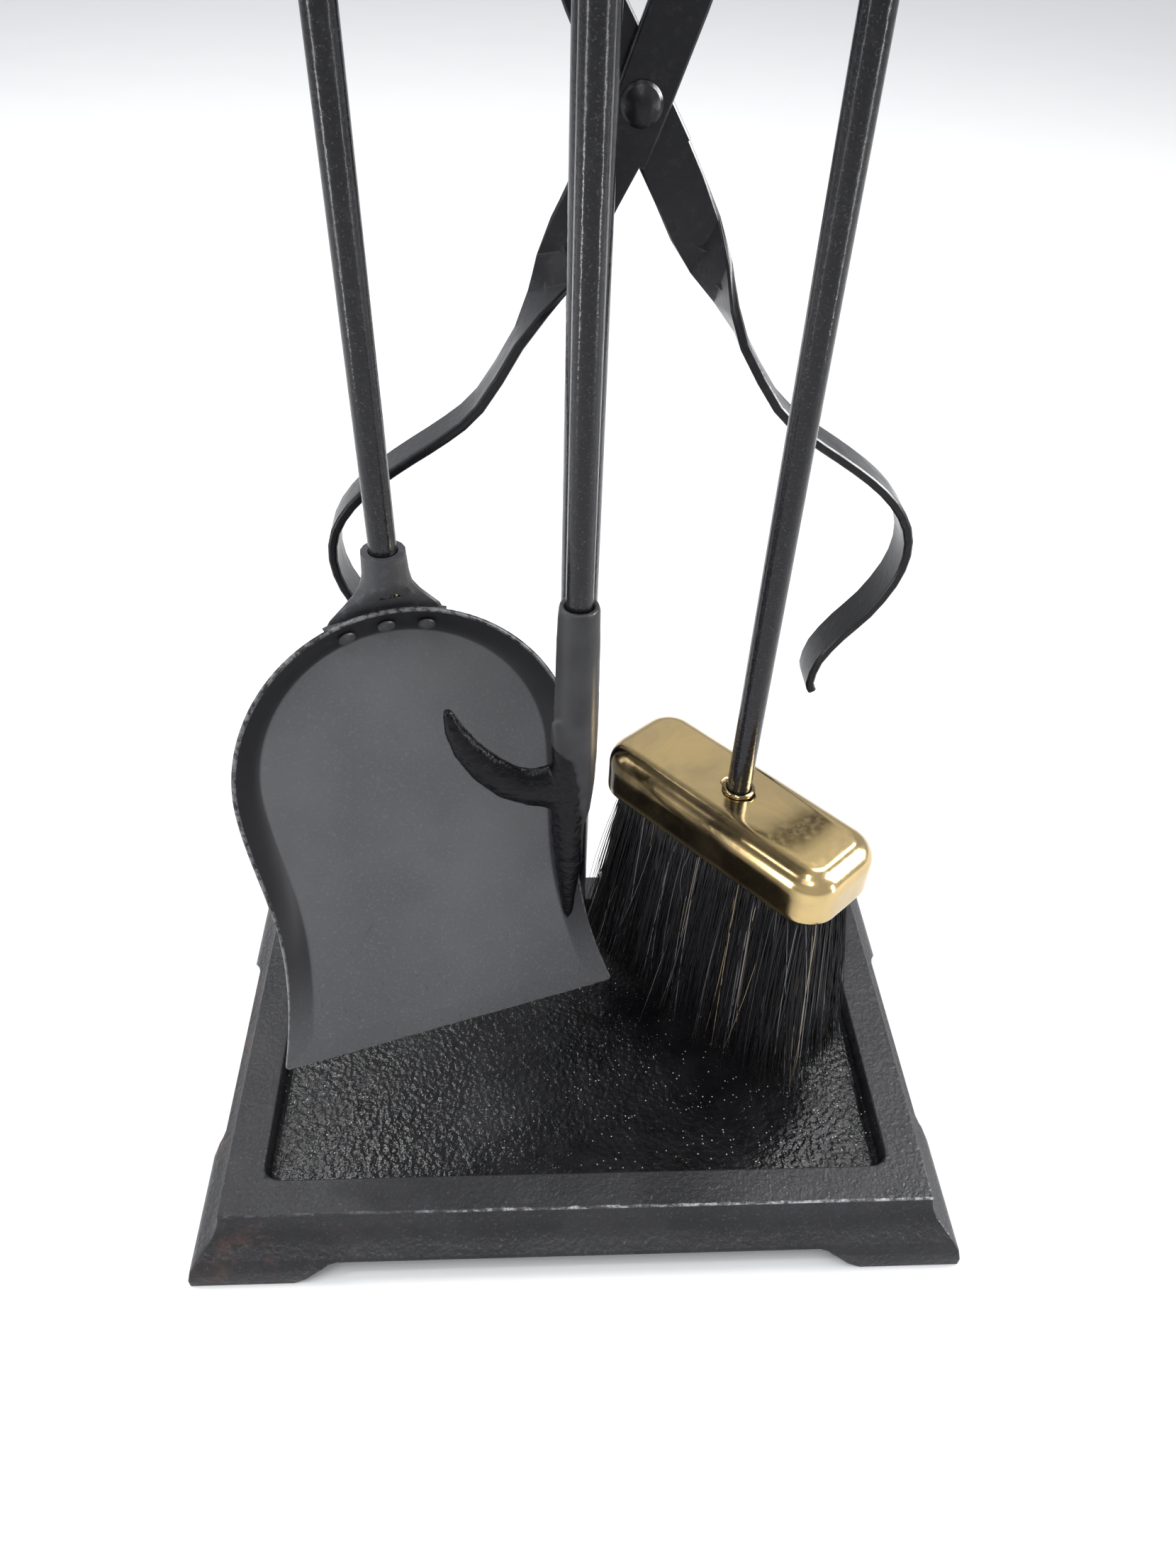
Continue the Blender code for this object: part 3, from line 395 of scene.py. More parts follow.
def brass_finish(name, tarnish_and_shade=0.5, polish=0.2):
    """Aged lacquered brass: gold where it is clean, browner and duller where it has tarnished, and on the
    brush cap where shade is painted in.
    """
    f = Finish(name, (0.62, 0.45, 0.2), polish, 1.0)
    cloud = f.noise(34, 4.0, 0.6, distortion=0.8)
    freckle = f.noise(420, 4.0, 0.7)
    gold = f.blend(f.spread(cloud, 0.3, 0.7), (0.58, 0.43, 0.20), (0.50, 0.38, 0.20))
    brown = f.blend(f.spread(cloud, 0.35, 0.7), (0.085, 0.062, 0.032), (0.052, 0.040, 0.022))
    # The attribute holds tarnish, and on the brush cap painted shade as well
    brown_share = f.attribute("tarnish_and_shade")
    share = f.maths("MULTIPLY", f.maths("ADD", brown_share, f.spread(cloud, 0.35, 0.75, 0.0, 0.12)), tarnish_and_shade)
    tone = f.blend(share, gold, brown)
    pitted = f.maths("MULTIPLY", f.spread(freckle, 0.64, 0.8), 0.2)
    f.feed("Base Color", f.blend(pitted, tone, (0.11, 0.075, 0.04)))
    rough = f.spread(freckle, 0.35, 0.8, polish, polish + 0.08)
    f.feed("Roughness", f.maths("ADD", rough, f.maths("MULTIPLY", brown_share, 0.03)))
    hairline = f.noise(260, 2.0, 0.5, stretch=(0.25, 0.25, 5.0))
    f.bump((hairline, 0.05, 0.05), (f.noise(26, 2.0), 0.12, 0.6), (freckle, 0.03, 0.04))
    return f.material


def bristle_finish():
    """Black hair that varies from strand to strand, with a few grey and tan ones."""
    f = Finish("black_bristle_hair", (0.012, 0.012, 0.014), 0.42, 0.0, Specular_IOR_Level=0.34)
    tone = f.attribute("tone")
    black = f.blend(f.spread(tone, 0.4, 0.92), (0.002, 0.002, 0.003), (0.020, 0.020, 0.023))
    grey = f.blend(f.spread(tone, 0.91, 0.95), black, (0.20, 0.20, 0.21))
    f.feed("Base Color", f.blend(f.spread(tone, 0.985, 0.99), grey, (0.36, 0.27, 0.17)))
    f.feed("Roughness", f.spread(f.noise(900, 2.0), 0.3, 0.7, 0.34, 0.5))
    return f.material


def wood_finish():
    """Beech: long pale grain with short dark flecks."""
    f = Finish("beech_wood", (0.5, 0.33, 0.18), 0.6, 0.0)
    grain = f.noise(60, 4.0, 0.6, stretch=(0.3, 4.0, 4.0), distortion=1.0)
    fleck = f.spread(f.noise(500, 2.0, stretch=(0.2, 2.0, 2.0)), 0.62, 0.72)
    tone = f.blend(f.spread(grain, 0.3, 0.7), (0.56, 0.39, 0.22), (0.42, 0.27, 0.14))
    f.feed("Base Color", f.blend(f.maths("MULTIPLY", fleck, 0.5), tone, (0.24, 0.14, 0.07)))
    f.feed("Roughness", f.spread(grain, 0.3, 0.7, 0.55, 0.7))
    f.bump((grain, 0.2, 0.2))
    return f.material


def zinc_finish():
    """Zinc plating: dull and spangled."""
    f = Finish("zinc_plate", (0.5, 0.5, 0.52), 0.4, 1.0)
    spangle = f.new("ShaderNodeSeparateColor", Color=f.cells(420)["Color"]).outputs[0]
    f.feed("Base Color", f.blend(spangle, (0.42, 0.42, 0.44), (0.6, 0.6, 0.62)))
    f.feed("Roughness", f.spread(f.noise(300, 3.0), 0.3, 0.7, 0.32, 0.5))
    f.bump((f.noise(900, 3.0), 0.15, 0.1))
    return f.material


def floor_finish():
    f = Finish("pale_floor", (0.86, 0.86, 0.86), 0.9, 0.0)
    f.feed("Base Color", f.blend(f.noise(8, 3.0), (0.85, 0.85, 0.85), (0.88, 0.88, 0.88)))
    return f.material


IRON = cast_base_finish()
HOLDER = holder_finish()
ROD_PAINT = painted_finish("rod_paint", (0.008, 0.008, 0.010), gloss=0.12, peel=0.4, speckle=0.1, shine=0.3)
BAR_PAINT = painted_finish("tongs_paint", (0.007, 0.007, 0.009), gloss=0.2, shine=0.22)
SATIN = painted_finish("bracket_paint", (0.042, 0.042, 0.046), gloss=0.42, peel=0.2)
PAN = pan_finish()
FORGED = forging_finish()
CAP_BRASS = brass_finish("cap_brass", tarnish_and_shade=0.92, polish=0.13)
BRASS = brass_finish("handle_brass", tarnish_and_shade=0.6, polish=0.17)
BRISTLE = bristle_finish()
WOOD = wood_finish()
ZINC = zinc_finish()


# Pieces


def write_attribute(mesh, name, values):
    mesh.attributes.new(name, "FLOAT", "POINT").data.foreach_set("value", np.asarray(values, np.float32))


def cast_parts():
    softened("base_casting", IRON, "stand", width=0.9, segments=3, angle=24)
    softened("tool_holder", HOLDER, "stand", width=0.7, segments=3)


def turned_mesh(name, profile, place, steps=64):
    bm = bmesh.new()
    rings = []
    for radius, height in profile:
        ring = [2 * math.pi * i / steps for i in range(steps)]
        rings.append([(radius * math.cos(a), radius * math.sin(a), height) for a in ring])
    rows = join_rings(bm, rings)
    bm.faces.new(reversed(rows[0]))
    bm.faces.new(rows[-1])
    bmesh.ops.recalc_face_normals(bm, faces=bm.faces)
    return mesh_of(name, bm, place)


def arc(centre_r, centre_z, radius, start, end, steps):
    """Points (radius, height) on a round stretch of a turned profile; angles in degrees from the axis."""
    angles = [math.radians(start + (end - start) * i / steps) for i in range(steps + 1)]
    return [(centre_r + radius * math.sin(a), centre_z + radius * math.cos(a)) for a in angles]


def swelling(points, steps=6):
    """Points of a turned profile along a smooth curve through the given ones."""
    vectors = [Vector(p) for p in points]
    ends = [2 * vectors[0] - vectors[1], *vectors, 2 * vectors[-1] - vectors[-2]]
    path = []
    for p0, p1, p2, p3 in zip(ends, ends[1:], ends[2:], ends[3:]):
        for i in range(steps):
            t = i / steps
            ease = (2 * t**3 - 3 * t**2 + 1, t**3 - 2 * t**2 + t, 3 * t**2 - 2 * t**3, t**3 - t**2)
            point = ease[0] * p1 + ease[1] * (p2 - p0) / 2 + ease[2] * p2 + ease[3] * (p3 - p1) / 2
            path.append(tuple(point))
    return [*path, tuple(vectors[-1])]


def grip(node, body, base_r, grip_r, ball_r):
    """A turned brass grip: foot flange, cove, double bead, barrel with ring grooves, neck and ball."""
    low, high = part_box(node)
    length = (high[2] - low[2]) / MM
    ball = length - ball_r
    neck_angle = 180 - math.degrees(math.asin(0.5))
    foot = [(base_r - 0.7, 0.0), (base_r - 0.2, 0.15), (base_r, 0.6), (base_r, length * 0.02)]
    foot += [(base_r - 0.3, length * 0.028), (base_r - 1.2, length * 0.032)]
    cove = [(grip_r * 0.72, length * 0.045), (grip_r * 0.67, length * 0.062), (grip_r * 0.75, length * 0.085)]
    cove = swelling(cove, 4)
    bead = arc(grip_r * 0.66, length * 0.107, grip_r * 0.22, 165, 15, 8)
    barrel = swelling(
        [
            (grip_r * 0.72, length * 0.145),
            (grip_r * 0.76, length * 0.18),
            (grip_r * 0.92, length * 0.3),
            (grip_r * 0.995, length * 0.45),
            (grip_r * 0.96, length * 0.6),
            (grip_r * 0.86, length * 0.7),
            (grip_r * 0.74, length * 0.76),
        ],
        8,
    )
    grooved = []
    for radius, height in barrel:
        dip = sum(0.35 * math.exp(-(((height - length * at) / 0.55) ** 2)) for at in (0.42, 0.45, 0.48))
        grooved.append((radius - dip, height))
    neck = swelling([(ball_r * 0.58, ball - ball_r * 1.12), (ball_r * 0.46, ball - ball_r * 0.95)], 3)
    globe = arc(0.0, ball, ball_r, neck_angle, 4, 18)
    profile = [*foot, *cove, *bead, *grooved, *neck, *globe]
    place = Matrix.Translation((*centre_of(node).xy, low[2] / MM))
    mesh = turned_mesh(node + "_turned", profile, place)
    piece(node + "_turned", mesh, BRASS, body, (node,), angle=55)
    spans = [vertex.co.z / MM - low[2] / MM for vertex in mesh.vertices]
    hollows = ((length * 0.062, 3.0), (length * 0.14, 2.4), (ball - ball_r, 3.0))
    brown_share = [max(math.exp(-(((z - at) / wide) ** 2)) for at, wide in hollows) for z in spans]
    write_attribute(mesh, "tarnish_and_shade", brown_share)


def collar(node, body):
    """A turned brass collar: two round beads with a groove between them."""
    low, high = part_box(node)
    tall = (high[2] - low[2]) / MM
    radius = (high[0] - low[0]) / MM / 2
    half = tall / 2
    inner = radius - 3.9
    profile = [(inner, 0.0), (radius - 0.7, 0.0)]
    profile += arc(radius - 0.55, half * 0.55, half * 0.5, 150, 30, 6)
    profile += [(radius - 0.5, half)]
    profile += arc(radius - 0.55, half * 1.45, half * 0.5, 150, 30, 6)
    profile += [(radius - 0.7, tall), (inner, tall)]
    place = Matrix.Translation((*centre_of(node).xy, low[2] / MM))
    mesh = turned_mesh(node + "_turned", profile, place, steps=56)
    piece(node + "_turned", mesh, BRASS, body, (node,), angle=50)


def rounded_ring(half_x, half_y, radius, z, corner_steps=10, side_steps=(18, 6)):
    """A rounded rectangle with points along its straight sides too, anticlockwise from the right side."""
    ring = []
    inner_x, inner_y = half_x - radius, half_y - radius
    corners = ((1, 1), (-1, 1), (-1, -1), (1, -1))
    for quarter, (sx, sy) in enumerate(corners):
        for i in range(corner_steps + 1):
            angle = math.pi / 2 * (quarter + i / corner_steps)
            x, y = sx * inner_x + radius * math.cos(angle), sy * inner_y + radius * math.sin(angle)
            ring.append(Vector((x, y, z)))
        start = ring[-1]
        nx, ny = corners[(quarter + 1) % 4]
        turn = math.pi / 2 * (quarter + 1)
        end = Vector((nx * inner_x + radius * math.cos(turn), ny * inner_y + radius * math.sin(turn), z))
        steps = side_steps[quarter % 2]
        ring += [start.lerp(end, i / steps) for i in range(1, steps)]
    return ring


def brush_cap():
    """The pressed brass cap: a drawn sheet with a rolled mouth, a rounded top and the dents it has got."""
    low, high = CAP_Z
    flat = high - CAP_ROUND
    sides = [(0.5, low), (0.12, low + 0.25), (0.0, low + 0.8)]
    sides += [(0.0, low + 0.8 + (flat - low - 0.8) * i / 5) for i in range(1, 6)]
    steps = 9
    for i in range(1, steps + 1):
        angle = math.pi / 2 * i / steps
        sides.append((CAP_ROUND * (1 - math.cos(angle)), flat + CAP_ROUND * math.sin(angle)))
    rings = []
    for inset, z in sides:
        rings.append(rounded_ring(CAP_HALF[0] - inset, CAP_HALF[1] - inset, max(CAP_CORNER - inset, 4.0), z))
    rim = rings[-1]
    hole_r = 5.0
    for share in (0.2, 0.4, 0.6, 0.78, 0.9, 1.0):
        ring = []
        for point in rim:
            out = Vector((point.x, point.y, 0)).normalized() * hole_r
            ring.append(Vector((*point.lerp(out, share).xy, high)))
        rings.append(ring)
    dents = (
        ((4.0, -CAP_HALF[1], high - 9.5), 3.0, 0.55),
        ((20.0, -CAP_HALF[1], high - 11.0), 2.2, 0.3),
        ((-30.0, -4.0, high), 9.0, 0.25),
    )
    for ring in rings:
        for point in ring:
            for at, wide, deep in dents:
                away = (point - Vector(at)).length
                point += (Vector((0, 0, flat)) - point).normalized() * deep * math.exp(-((away / wide) ** 2))
    bm = bmesh.new()
    join_rings(bm, rings)
    bmesh.ops.recalc_face_normals(bm, faces=bm.faces)
    if sum(face.normal.z for face in bm.faces) < 0:
        bmesh.ops.reverse_faces(bm, faces=bm.faces)
    local = [vertex.co.copy() for vertex in bm.verts]
    mesh = mesh_of("brush_cap_pressed", bm, hanging("brush", BRUSH_LEAN, BRUSH_TURN))
    made = piece("brush_cap_pressed", mesh, CAP_BRASS, "brush", ("brush_cap",), angle=60)
    # On the cap the brown share is mostly painted light: painted shade on the front face, left clear for
    # painted highlights along the rolled foot, in a band under the rounded top and at the right end; the top
    # browns a little as well
    brown_share = []
    for co in local:
        front = smooth_step((-co.y - 11) / 5) * (1 - smooth_step((co.x - 40) / 9))
        top = 0.12 * smooth_step((co.z - high + 3) / 3)
        foot = 1 - smooth_step((co.z - low - 1.5) / 1.0)
        shoulder_highlight = math.exp(-(((co.z - high + 4.6) / 1.1) ** 2)) * smooth_step((co.x + 34) / 6)
        brown_share.append(max(front * (1 - foot) * (1 - 0.8 * shoulder_highlight), top))
    write_attribute(mesh, "tarnish_and_shade", brown_share)
    sheet = made.modifiers.new("sheet", "SOLIDIFY")
    sheet.thickness = CAP_SHEET * MM
    sheet.offset = -1.0


def tuft_half(z):
    """Half sizes of the tuft at a height: straight in the cap, then spreading."""
    spread = max(0.0, (CAP_Z[0] - z) / (CAP_Z[0] - TUFT_Z[0])) ** 1.2
    return [a + (b - a) * spread for a, b in zip(TUFT_TOP, TUFT_END)]


def bristle_core():
    """The dark mass of the tuft, seen only between strands."""
    bm = bmesh.new()
    rings = []
    for z in (TUFT_Z[1], 137.0, 120.0, 100.0, 80.0, 66.0, 58.0):
        half = tuft_half(z)
        inner = [size - 2.5 for size in half]
        ring = rounded_ring(*inner, min(half) * 0.55, z, corner_steps=6, side_steps=(24, 8))
        for point in ring:
            wobble = noise.noise(Vector((point.x * 0.35, point.y * 0.35, z * 0.03)))
            point.xy *= 1 + 0.035 * wobble
            if z < 60:
                point.z += 9.0 * wobble
        rings.append(ring)
    rows = join_rings(bm, rings)
    bm.faces.new(rows[0])
    bm.faces.new(reversed(rows[-1]))
    bmesh.ops.recalc_face_normals(bm, faces=bm.faces)
    mesh = mesh_of("bristle_core", bm, hanging("brush", BRUSH_LEAN, BRUSH_TURN))
    piece("bristle_core", mesh, BRISTLE, "brush", ("brush_bristles",))


def strands(name, count, seed, shell, radius, reach, stray):
    """Hair as tapering three-sided strands from the block to the tuft's ragged end, each with its own tone.

    shell is how far in from the tuft's outside the roots may lie, as a share. reach is the (lowest,
    highest) height at which strands end. stray scales each strand's own bend, in millimetres; the
    wildest strands, from 3 up, may leave the tuft's outline. The tone runs from 0 to 1 and the
    material turns its top few percent grey and tan.
    """
    random = np.random.default_rng(seed)
    steps = 7
    t = np.linspace(0.0, 1.0, steps)
    depth = 1.0 - shell * random.uniform(0, 1, count) ** 1.4
    even = random.uniform(-1, 1, count)
    rounded = (1 - np.abs(even) ** 4.8) ** (1 / 4.8) * random.choice((-1, 1), count)
    long_side = random.uniform(0, 1, count) < TUFT_TOP[0] / sum(TUFT_TOP)
    u = np.where(long_side, even, rounded) * depth
    v = np.where(long_side, rounded, even) * depth
    angle = np.arctan2(v, u)
    end = random.uniform(*reach, count)
    z = TUFT_Z[1] + (end[:, None] - TUFT_Z[1]) * t
    spread = np.clip((CAP_Z[0] - z) / (CAP_Z[0] - TUFT_Z[0]), 0.0, 1.2) ** 1.2
    clump = np.floor(angle * 23) + 13 * np.floor(depth * 9)
    lean = np.stack([np.sin(clump * 12.9898), np.cos(clump * 78.233)])
    own = random.normal(0, 1, (2, count)) * stray
    bow = random.normal(0, 1, (2, count)) * stray * 0.6
    loose = t**1.6
    hump = np.sin(t * math.pi)
    across = []
    for axis, (a, b, share) in enumerate(zip(TUFT_TOP, TUFT_END, (u, v))):
        half = a + (b - a) * spread
        limit = half * 1.035
        along = share[:, None] * half + (lean[axis] + own[axis])[:, None] * loose + bow[axis][:, None] * hump
        across.append(np.clip(along, -limit, limit) if stray < 3 else along)
    path = np.stack([*across, z], axis=2)
    thick = radius * random.uniform(0.7, 1.25, count)[:, None] * (1 - 0.72 * t**2.2)
    corners = [(math.cos(math.radians(a)), math.sin(math.radians(a))) for a in (0, 120, 240)]
    rings = np.stack([path + np.stack([thick * c, thick * s, thick * 0], axis=2) for c, s in corners], axis=2)
    points = rings.reshape(-1, 3)
    place = hanging("brush", BRUSH_LEAN, BRUSH_TURN)
    points = (points @ np.array(place.to_3x3()).T + np.array(place.translation)) * MM
    strand = np.arange(count)[:, None, None, None] * steps * 3
    level = np.arange(steps - 1)[None, :, None, None] * 3
    side = np.array([[0, 1, 4, 3], [1, 2, 5, 4], [2, 0, 3, 5]])[None, None]
    quads = (strand + level + side).reshape(-1, 4)
    tips = np.arange(count)[:, None] * steps * 3 + (steps - 1) * 3 + np.array([[0, 1, 2]])
    roots = np.arange(count)[:, None] * steps * 3 + np.array([[2, 1, 0]])
    mesh = bpy.data.meshes.new(name)
    mesh.from_pydata(points.tolist(), [], quads.tolist() + tips.tolist() + roots.tolist())
    piece(name, mesh, BRISTLE, "brush", angle=180)
    return mesh, np.repeat(random.uniform(0, 1, count), steps * 3)


def bristles():
    bristle_core()
    for name, count, seed, shell, radius, reach, stray in (
        ("bristles_outer", 4200, 11, 0.16, 0.20, (36.0, 48.0), 2.6),
        ("bristles_inner", 3400, 12, 0.7, 0.24, (39.0, 52.0), 1.4),
        ("bristles_long", 1200, 14, 0.25, 0.17, (31.0, 43.0), 3.4),
    ):
        mesh, tone = strands(name, count, seed, shell, radius, reach, stray)
        # Only the top hundredth of the tones reaches tan
        write_attribute(mesh, "tone", tone * 0.97 + 0.03 * (tone > 0.99))
    mesh, tone = strands("bristles_stray", 240, 15, 0.1, 0.15, (34.0, 90.0), 3.2)
    write_attribute(mesh, "tone", 0.5 + 0.5 * tone)


def pan_half_width(down):
    """Half the pan's width at a distance down from its top: narrowest at the waist, widest at the mouth."""
    waist, waist_down = PAN_WAIST
    if down <= waist_down:
        t = (down - PAN_ARC_R) / (waist_down - PAN_ARC_R)
        return PAN_ARC_R + (waist - PAN_ARC_R) * (3 * t**2 - 2 * t**3)
    span = PAN_LENGTH - waist_down
    t = (down - waist_down) / span
    return waist + (PAN_EDGE_HALF - waist) * (3 * t**2 - 2 * t**3) + (t**3 - t**2) * 0.3 * span


def pan_depth(down):
    """How deep the floor lies behind the rim: full at the top, nothing at the mouth."""
    return PAN_DEPTH * (1 - smooth_step((down - 65) / (PAN_LENGTH - 67)))


def lip_depth(share):
    """How far down the lip is, as a share of the floor's depth, at a share of the lip's width."""
    share = min(max(share, 0.0), 1.0)
    return 0.45 * share + 0.55 * math.sin(share * math.pi / 2)


def pan_outline():
    """The pan's edge as (across, down) points: round top, waisted sides, straight mouth."""
    arc_steps = 60
    angles = [math.pi * i / arc_steps for i in range(arc_steps + 1)]
    top = [(-PAN_ARC_R * math.cos(a), PAN_ARC_R - PAN_ARC_R * math.sin(a)) for a in angles]
    side_steps = 30
    drop = PAN_LENGTH - PAN_CORNER - PAN_ARC_R
    right = [PAN_ARC_R + drop * i / side_steps for i in range(1, side_steps + 1)]
    right = [(pan_half_width(down), down) for down in right]
    edge_steps = 24
    edge_end = PAN_EDGE_HALF - PAN_CORNER
    edge = [(edge_end * (1 - 2 * i / edge_steps), PAN_LENGTH) for i in range(edge_steps + 1)]
    left = [(-x, down) for x, down in reversed(right)]
    return [*top, *right, *edge, *left]


def shovel_pan():
    """The pressed pan: a dished floor, a sloping lip that fades out at the mouth, and a thin bright rim."""
    outline = [Vector(point) for point in pan_outline()]
    count = len(outline)
    ways = []
    for i in range(count):
        heading = (outline[(i + 1) % count] - outline[i - 1]).normalized()
        ways.append(Vector((-heading.y, heading.x)))
    loops = []
    marks = []
    for share in (0.0, 0.05, 0.15, 0.3, 0.45, 0.6, 0.75, 0.88, 0.97, 1.03):
        loop = [point + way * PAN_LIP * share for point, way in zip(outline, ways)]
        loops.append([(p.x, p.y, -pan_depth(p.y) * lip_depth(share)) for p in loop])
        # The lip's painted shade fades out towards the mouth
        fade = [1 - 0.85 * smooth_step((p.y - 118) / 45) for p in loop]
        mouth = [smooth_step((PAN_LENGTH + 4 - p.y) / 10) for p in outline]
        marks.append([(1 - smooth_step((share - 0.86) / 0.14)) * a * b for a, b in zip(fade, mouth)])
    middle = Vector((0, 92))
    inner = [Vector(p[:2]) for p in loops[-1]]
    for scale in (0.9, 0.75, 0.6, 0.45, 0.3, 0.15):
        loop = [middle + (p - middle) * scale for p in inner]
        loops.append([(p.x, p.y, -pan_depth(p.y)) for p in loop])
        marks.append([0.0] * count)
    across = Vector((math.cos(PAN_TURN), math.sin(PAN_TURN), 0))
    ahead = Vector((math.sin(PAN_TURN), -math.cos(PAN_TURN), 0))
    down = Vector((0, 0, -math.cos(PAN_TILT))) + ahead * math.sin(PAN_TILT)
    forward = down.cross(across)
    top = Vector((0, 0, PAN_TOP_Z)) + ahead * PAN_FORWARD + across * PAN_ASIDE
    bm = bmesh.new()
    rows = join_rings(bm, [[top + a * across + d * down + f * forward for a, d, f in loop] for loop in loops])
    hub = bm.verts.new(top + middle.y * down - pan_depth(middle.y) * forward)
    for i in range(count):
        bm.faces.new((rows[-1][i], rows[-1][(i + 1) % count], hub))
    bmesh.ops.recalc_face_normals(bm, faces=bm.faces)
    if sum(face.normal.dot(forward) for face in bm.faces) < 0:
        bmesh.ops.reverse_faces(bm, faces=bm.faces)
    mesh = mesh_of("shovel_pan_pressed", bm, hanging("shovel", SHOVEL_LEAN))
    made = piece("shovel_pan_pressed", mesh, PAN, "shovel", ("shovel_blade",), angle=70)
    # The lip attribute carries the lip's painted shade
    write_attribute(mesh, "lip", [value for row in marks for value in row] + [0.0])
    write_attribute(mesh, "edge", [0.4] * count + [0.0] * (len(mesh.vertices) - count))
    sheet = made.modifiers.new("sheet", "SOLIDIFY")
    sheet.thickness = PAN_SHEET * MM
    sheet.offset = -1.0


def poker_head():
    """The forged head: the CAD shape remeshed finely, its joints melted together and its skin hammered."""
    voxel = 0.75
    mesh = mesh_of("poker_head_forged", cad_copy("poker_head"))
    made = piece("poker_head_forged", mesh, FORGED, "poker", ("poker_head",), angle=180)
    remesh = made.modifiers.new("remesh", "REMESH")
    remesh.mode = "VOXEL"
    remesh.voxel_size = voxel * MM
    ease = made.modifiers.new("ease", "SMOOTH")
    ease.factor = 0.5
    ease.iterations = 12
    graph = bpy.context.evaluated_depsgraph_get()
    fine = bpy.data.meshes.new_from_object(made.evaluated_get(graph))
    made.modifiers.clear()
    made.data = fine
    fine.name = "poker_head_forged"
    axis = centre_of("poker_rod")
    # The black starts left of this line on the sleeve: (height, distance right of the rod's axis)
    line = ((150.0, 4.2), (170.0, 2.8), (186.0, 2.2), (200.0, 0.5), (207.0, -1.2), (213.0, -8.6))
    heights, borders = zip(*line)
    marks = []
    for vertex in fine.vertices:
        p = vertex.co / MM - Vector((axis.x, axis.y, 0))
        jag = 0.9 * noise.noise(p * 0.45)
        border = float(np.interp(p.z, heights, borders)) + jag
        rough = 1 - smooth_step((p.x - border) / 1.4 + 0.5)
        rough = max(rough, smooth_step((158 - p.z) / 14))
        skin = noise.noise(p * 0.35) * 0.16 + noise.noise(p * 0.9) * 0.10
        vertex.co += vertex.normal * (skin * rough + 0.05 * noise.noise(p * 0.2)) * MM
        marks.append(rough)
    write_attribute(fine, "rough", marks)
    shade(fine, 180)


def rods():
    """The column and the four rods, with their end edges rounded like thick paint."""
    rods_of = {"column": "stand", **{tool + "_rod": tool for tool in TOOLS}}
    for node, body in rods_of.items():
        softened(node, ROD_PAINT, body, width=0.25, angle=50)


def brass_parts():
    for tool in TOOLS:
        grip(tool + "_handle", tool, base_r=8.0, grip_r=9.2, ball_r=9.6)
        collar(tool + "_collar", tool)
    grip("finial_handle", "stand", base_r=11.4, grip_r=11.0, ball_r=11.0)
    ferrule = softened("brush_ferrule", CAP_BRASS, "brush", width=0.2)
    write_attribute(ferrule.data, "tarnish_and_shade", [0.75] * len(ferrule.data.vertices))
    softened("tongs_swing_knob", BRASS, "tongs_swing", width=0.2, angle=50)


def small_parts():
    softened("shovel_bracket", SATIN, "shovel", width=0.35, angle=40)
    for side in ("left", "middle", "right"):
        softened(f"shovel_rivet_{side}", SATIN, "shovel", width=0.15, angle=50)
    softened("tongs_fixed_arm", BAR_PAINT, "tongs", width=0.3, angle=40)
    softened("tongs_swing_arm", BAR_PAINT, "tongs_swing", width=0.3, angle=40)
    softened("tongs_pivot_rivet", BAR_PAINT, "tongs", width=0.2, angle=50)
    softened("tongs_rod_rivet", BAR_PAINT, "tongs", width=0.15, angle=50)


def hidden_parts():
    """Pieces inside and underneath: the CAD shape stays, with a material of its own."""
    for node, finish in (
        ("brush_block", WOOD),
        ("brush_nut", ZINC),
        ("column_nut", ZINC),
        ("column_washer", ZINC),
    ):
        mesh = NODES[node].data
        mesh.materials.clear()
        mesh.materials.append(finish)


# Studio


def area_light(name, place, target, size, power, only_shine=False):
    """A rectangular light. With only_shine it makes highlights and leaves diffuse light as it is."""
    light = bpy.data.lights.new(name, "AREA")
    light.shape = "RECTANGLE"
    light.size, light.size_y = size
    light.energy = power
    made = bpy.data.objects.new(name, light)
    made.location = place
    made.rotation_mode = "QUATERNION"
    made.rotation_quaternion = (Vector(target) - Vector(place)).to_track_quat("-Z", "Y")
    made.visible_diffuse = not only_shine
    bpy.context.scene.collection.objects.link(made)


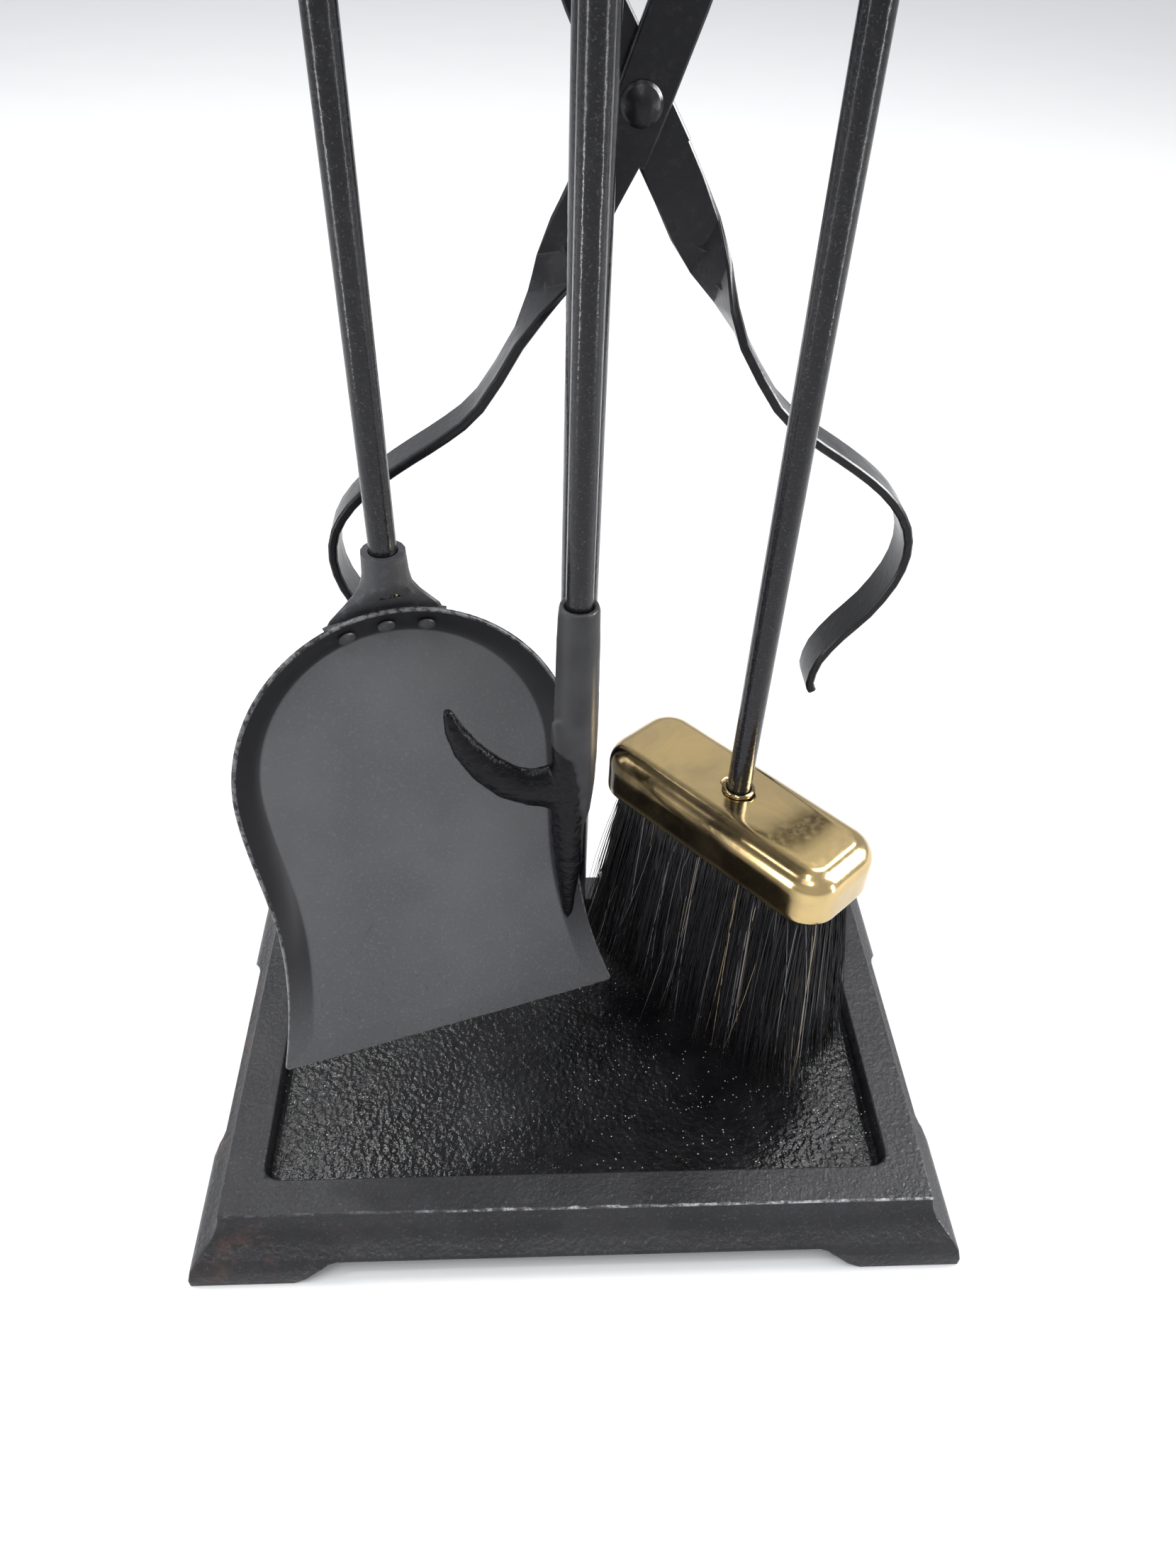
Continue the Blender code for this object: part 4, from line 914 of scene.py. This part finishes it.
def studio():
    bm = bmesh.new()
    bmesh.ops.create_grid(bm, x_segments=2, y_segments=2, size=6.0)
    mesh = bpy.data.meshes.new("floor")
    bm.to_mesh(mesh)
    bm.free()
    floor = bpy.data.objects.new("floor", mesh)
    bpy.context.scene.collection.objects.link(floor)
    mesh.materials.append(floor_finish())
    middle = (0.0, 0.0, 0.2)
    area_light("window_left", (-1.5, 0.2, 1.1), middle, (0.35, 1.1), 12)
    area_light("window_right", (1.5, 0.3, 1.0), middle, (0.3, 1.0), 9)
    area_light("key", (-0.7, -1.7, 2.4), middle, (1.6, 1.2), 7)
    area_light("lamp", (-0.25, -0.6, 2.2), middle, (0.16, 1.0), 13)
    area_light("lamp_side", (-1.3, -0.3, 1.7), middle, (0.1, 0.3), 5)
    area_light("strip_left", (-0.7, 1.0, 1.9), middle, (0.22, 0.7), 9)
    area_light("strip_right", (1.0, 1.0, 1.9), middle, (0.22, 0.7), 8)
    area_light("back_wall", (0.1, 2.6, 2.0), middle, (3.2, 1.8), 4)
    area_light("shine_right", (1.38, -0.05, 1.05), middle, (0.6, 1.1), 120, only_shine=True)
    area_light("glint_left", (-0.62, 0.9, 1.9), middle, (0.14, 0.14), 5, only_shine=True)
    area_light("glint_right", (0.66, 0.9, 1.9), middle, (0.14, 0.14), 7, only_shine=True)
    area_light("shine_front", (-0.1, -1.3, 1.6), middle, (0.25, 0.25), 7, only_shine=True)
    area_light("shine_low_left", (-0.75, -0.4, 0.22), (0.0, 0.0, 0.25), (0.07, 0.4), 2.2, only_shine=True)
    area_light("shine_low_right", (0.85, -0.45, 0.22), (0.0, 0.0, 0.25), (0.06, 0.4), 2.2, only_shine=True)
    world = bpy.data.worlds.new("studio")
    world.use_nodes = True
    world.node_tree.nodes["Background"].inputs["Color"].default_value = (0.95, 0.97, 1.0, 1.0)
    world.node_tree.nodes["Background"].inputs["Strength"].default_value = 0.72
    bpy.context.scene.world = world
    bpy.context.scene.view_settings.view_transform = "Standard"
    bpy.context.scene.view_settings.look = "None"


def camera():
    """A phone's main lens held above and ahead of the set, looking down at its lower half."""
    pitch = math.radians(42.395)
    yaw = math.radians(4.049)
    roll = math.radians(-2.372)
    ahead = Vector((math.sin(yaw) * math.cos(pitch), math.cos(yaw) * math.cos(pitch), -math.sin(pitch)))
    level = Vector((math.cos(yaw), -math.sin(yaw), 0))
    sunk = ahead.cross(level)
    right = level * math.cos(roll) + sunk * math.sin(roll)
    down = sunk * math.cos(roll) - level * math.sin(roll)
    data = bpy.data.cameras.new("camera")
    data.sensor_fit = "VERTICAL"
    data.sensor_height = 36
    data.lens = 36 * 1600 / 2212
    data.clip_start = 0.01
    made = bpy.data.objects.new("camera", data)
    rows = Matrix((right, -down, -ahead)).transposed()
    made.matrix_world = Matrix.Translation((-0.0193, -0.3016, 0.4475)) @ rows.to_4x4()
    bpy.context.scene.collection.objects.link(made)
    bpy.context.scene.camera = made


def main():
    camera()
    cast_parts()
    rods()
    brass_parts()
    small_parts()
    brush_cap()
    bristles()
    shovel_pan()
    poker_head()
    hidden_parts()
    studio()


main()
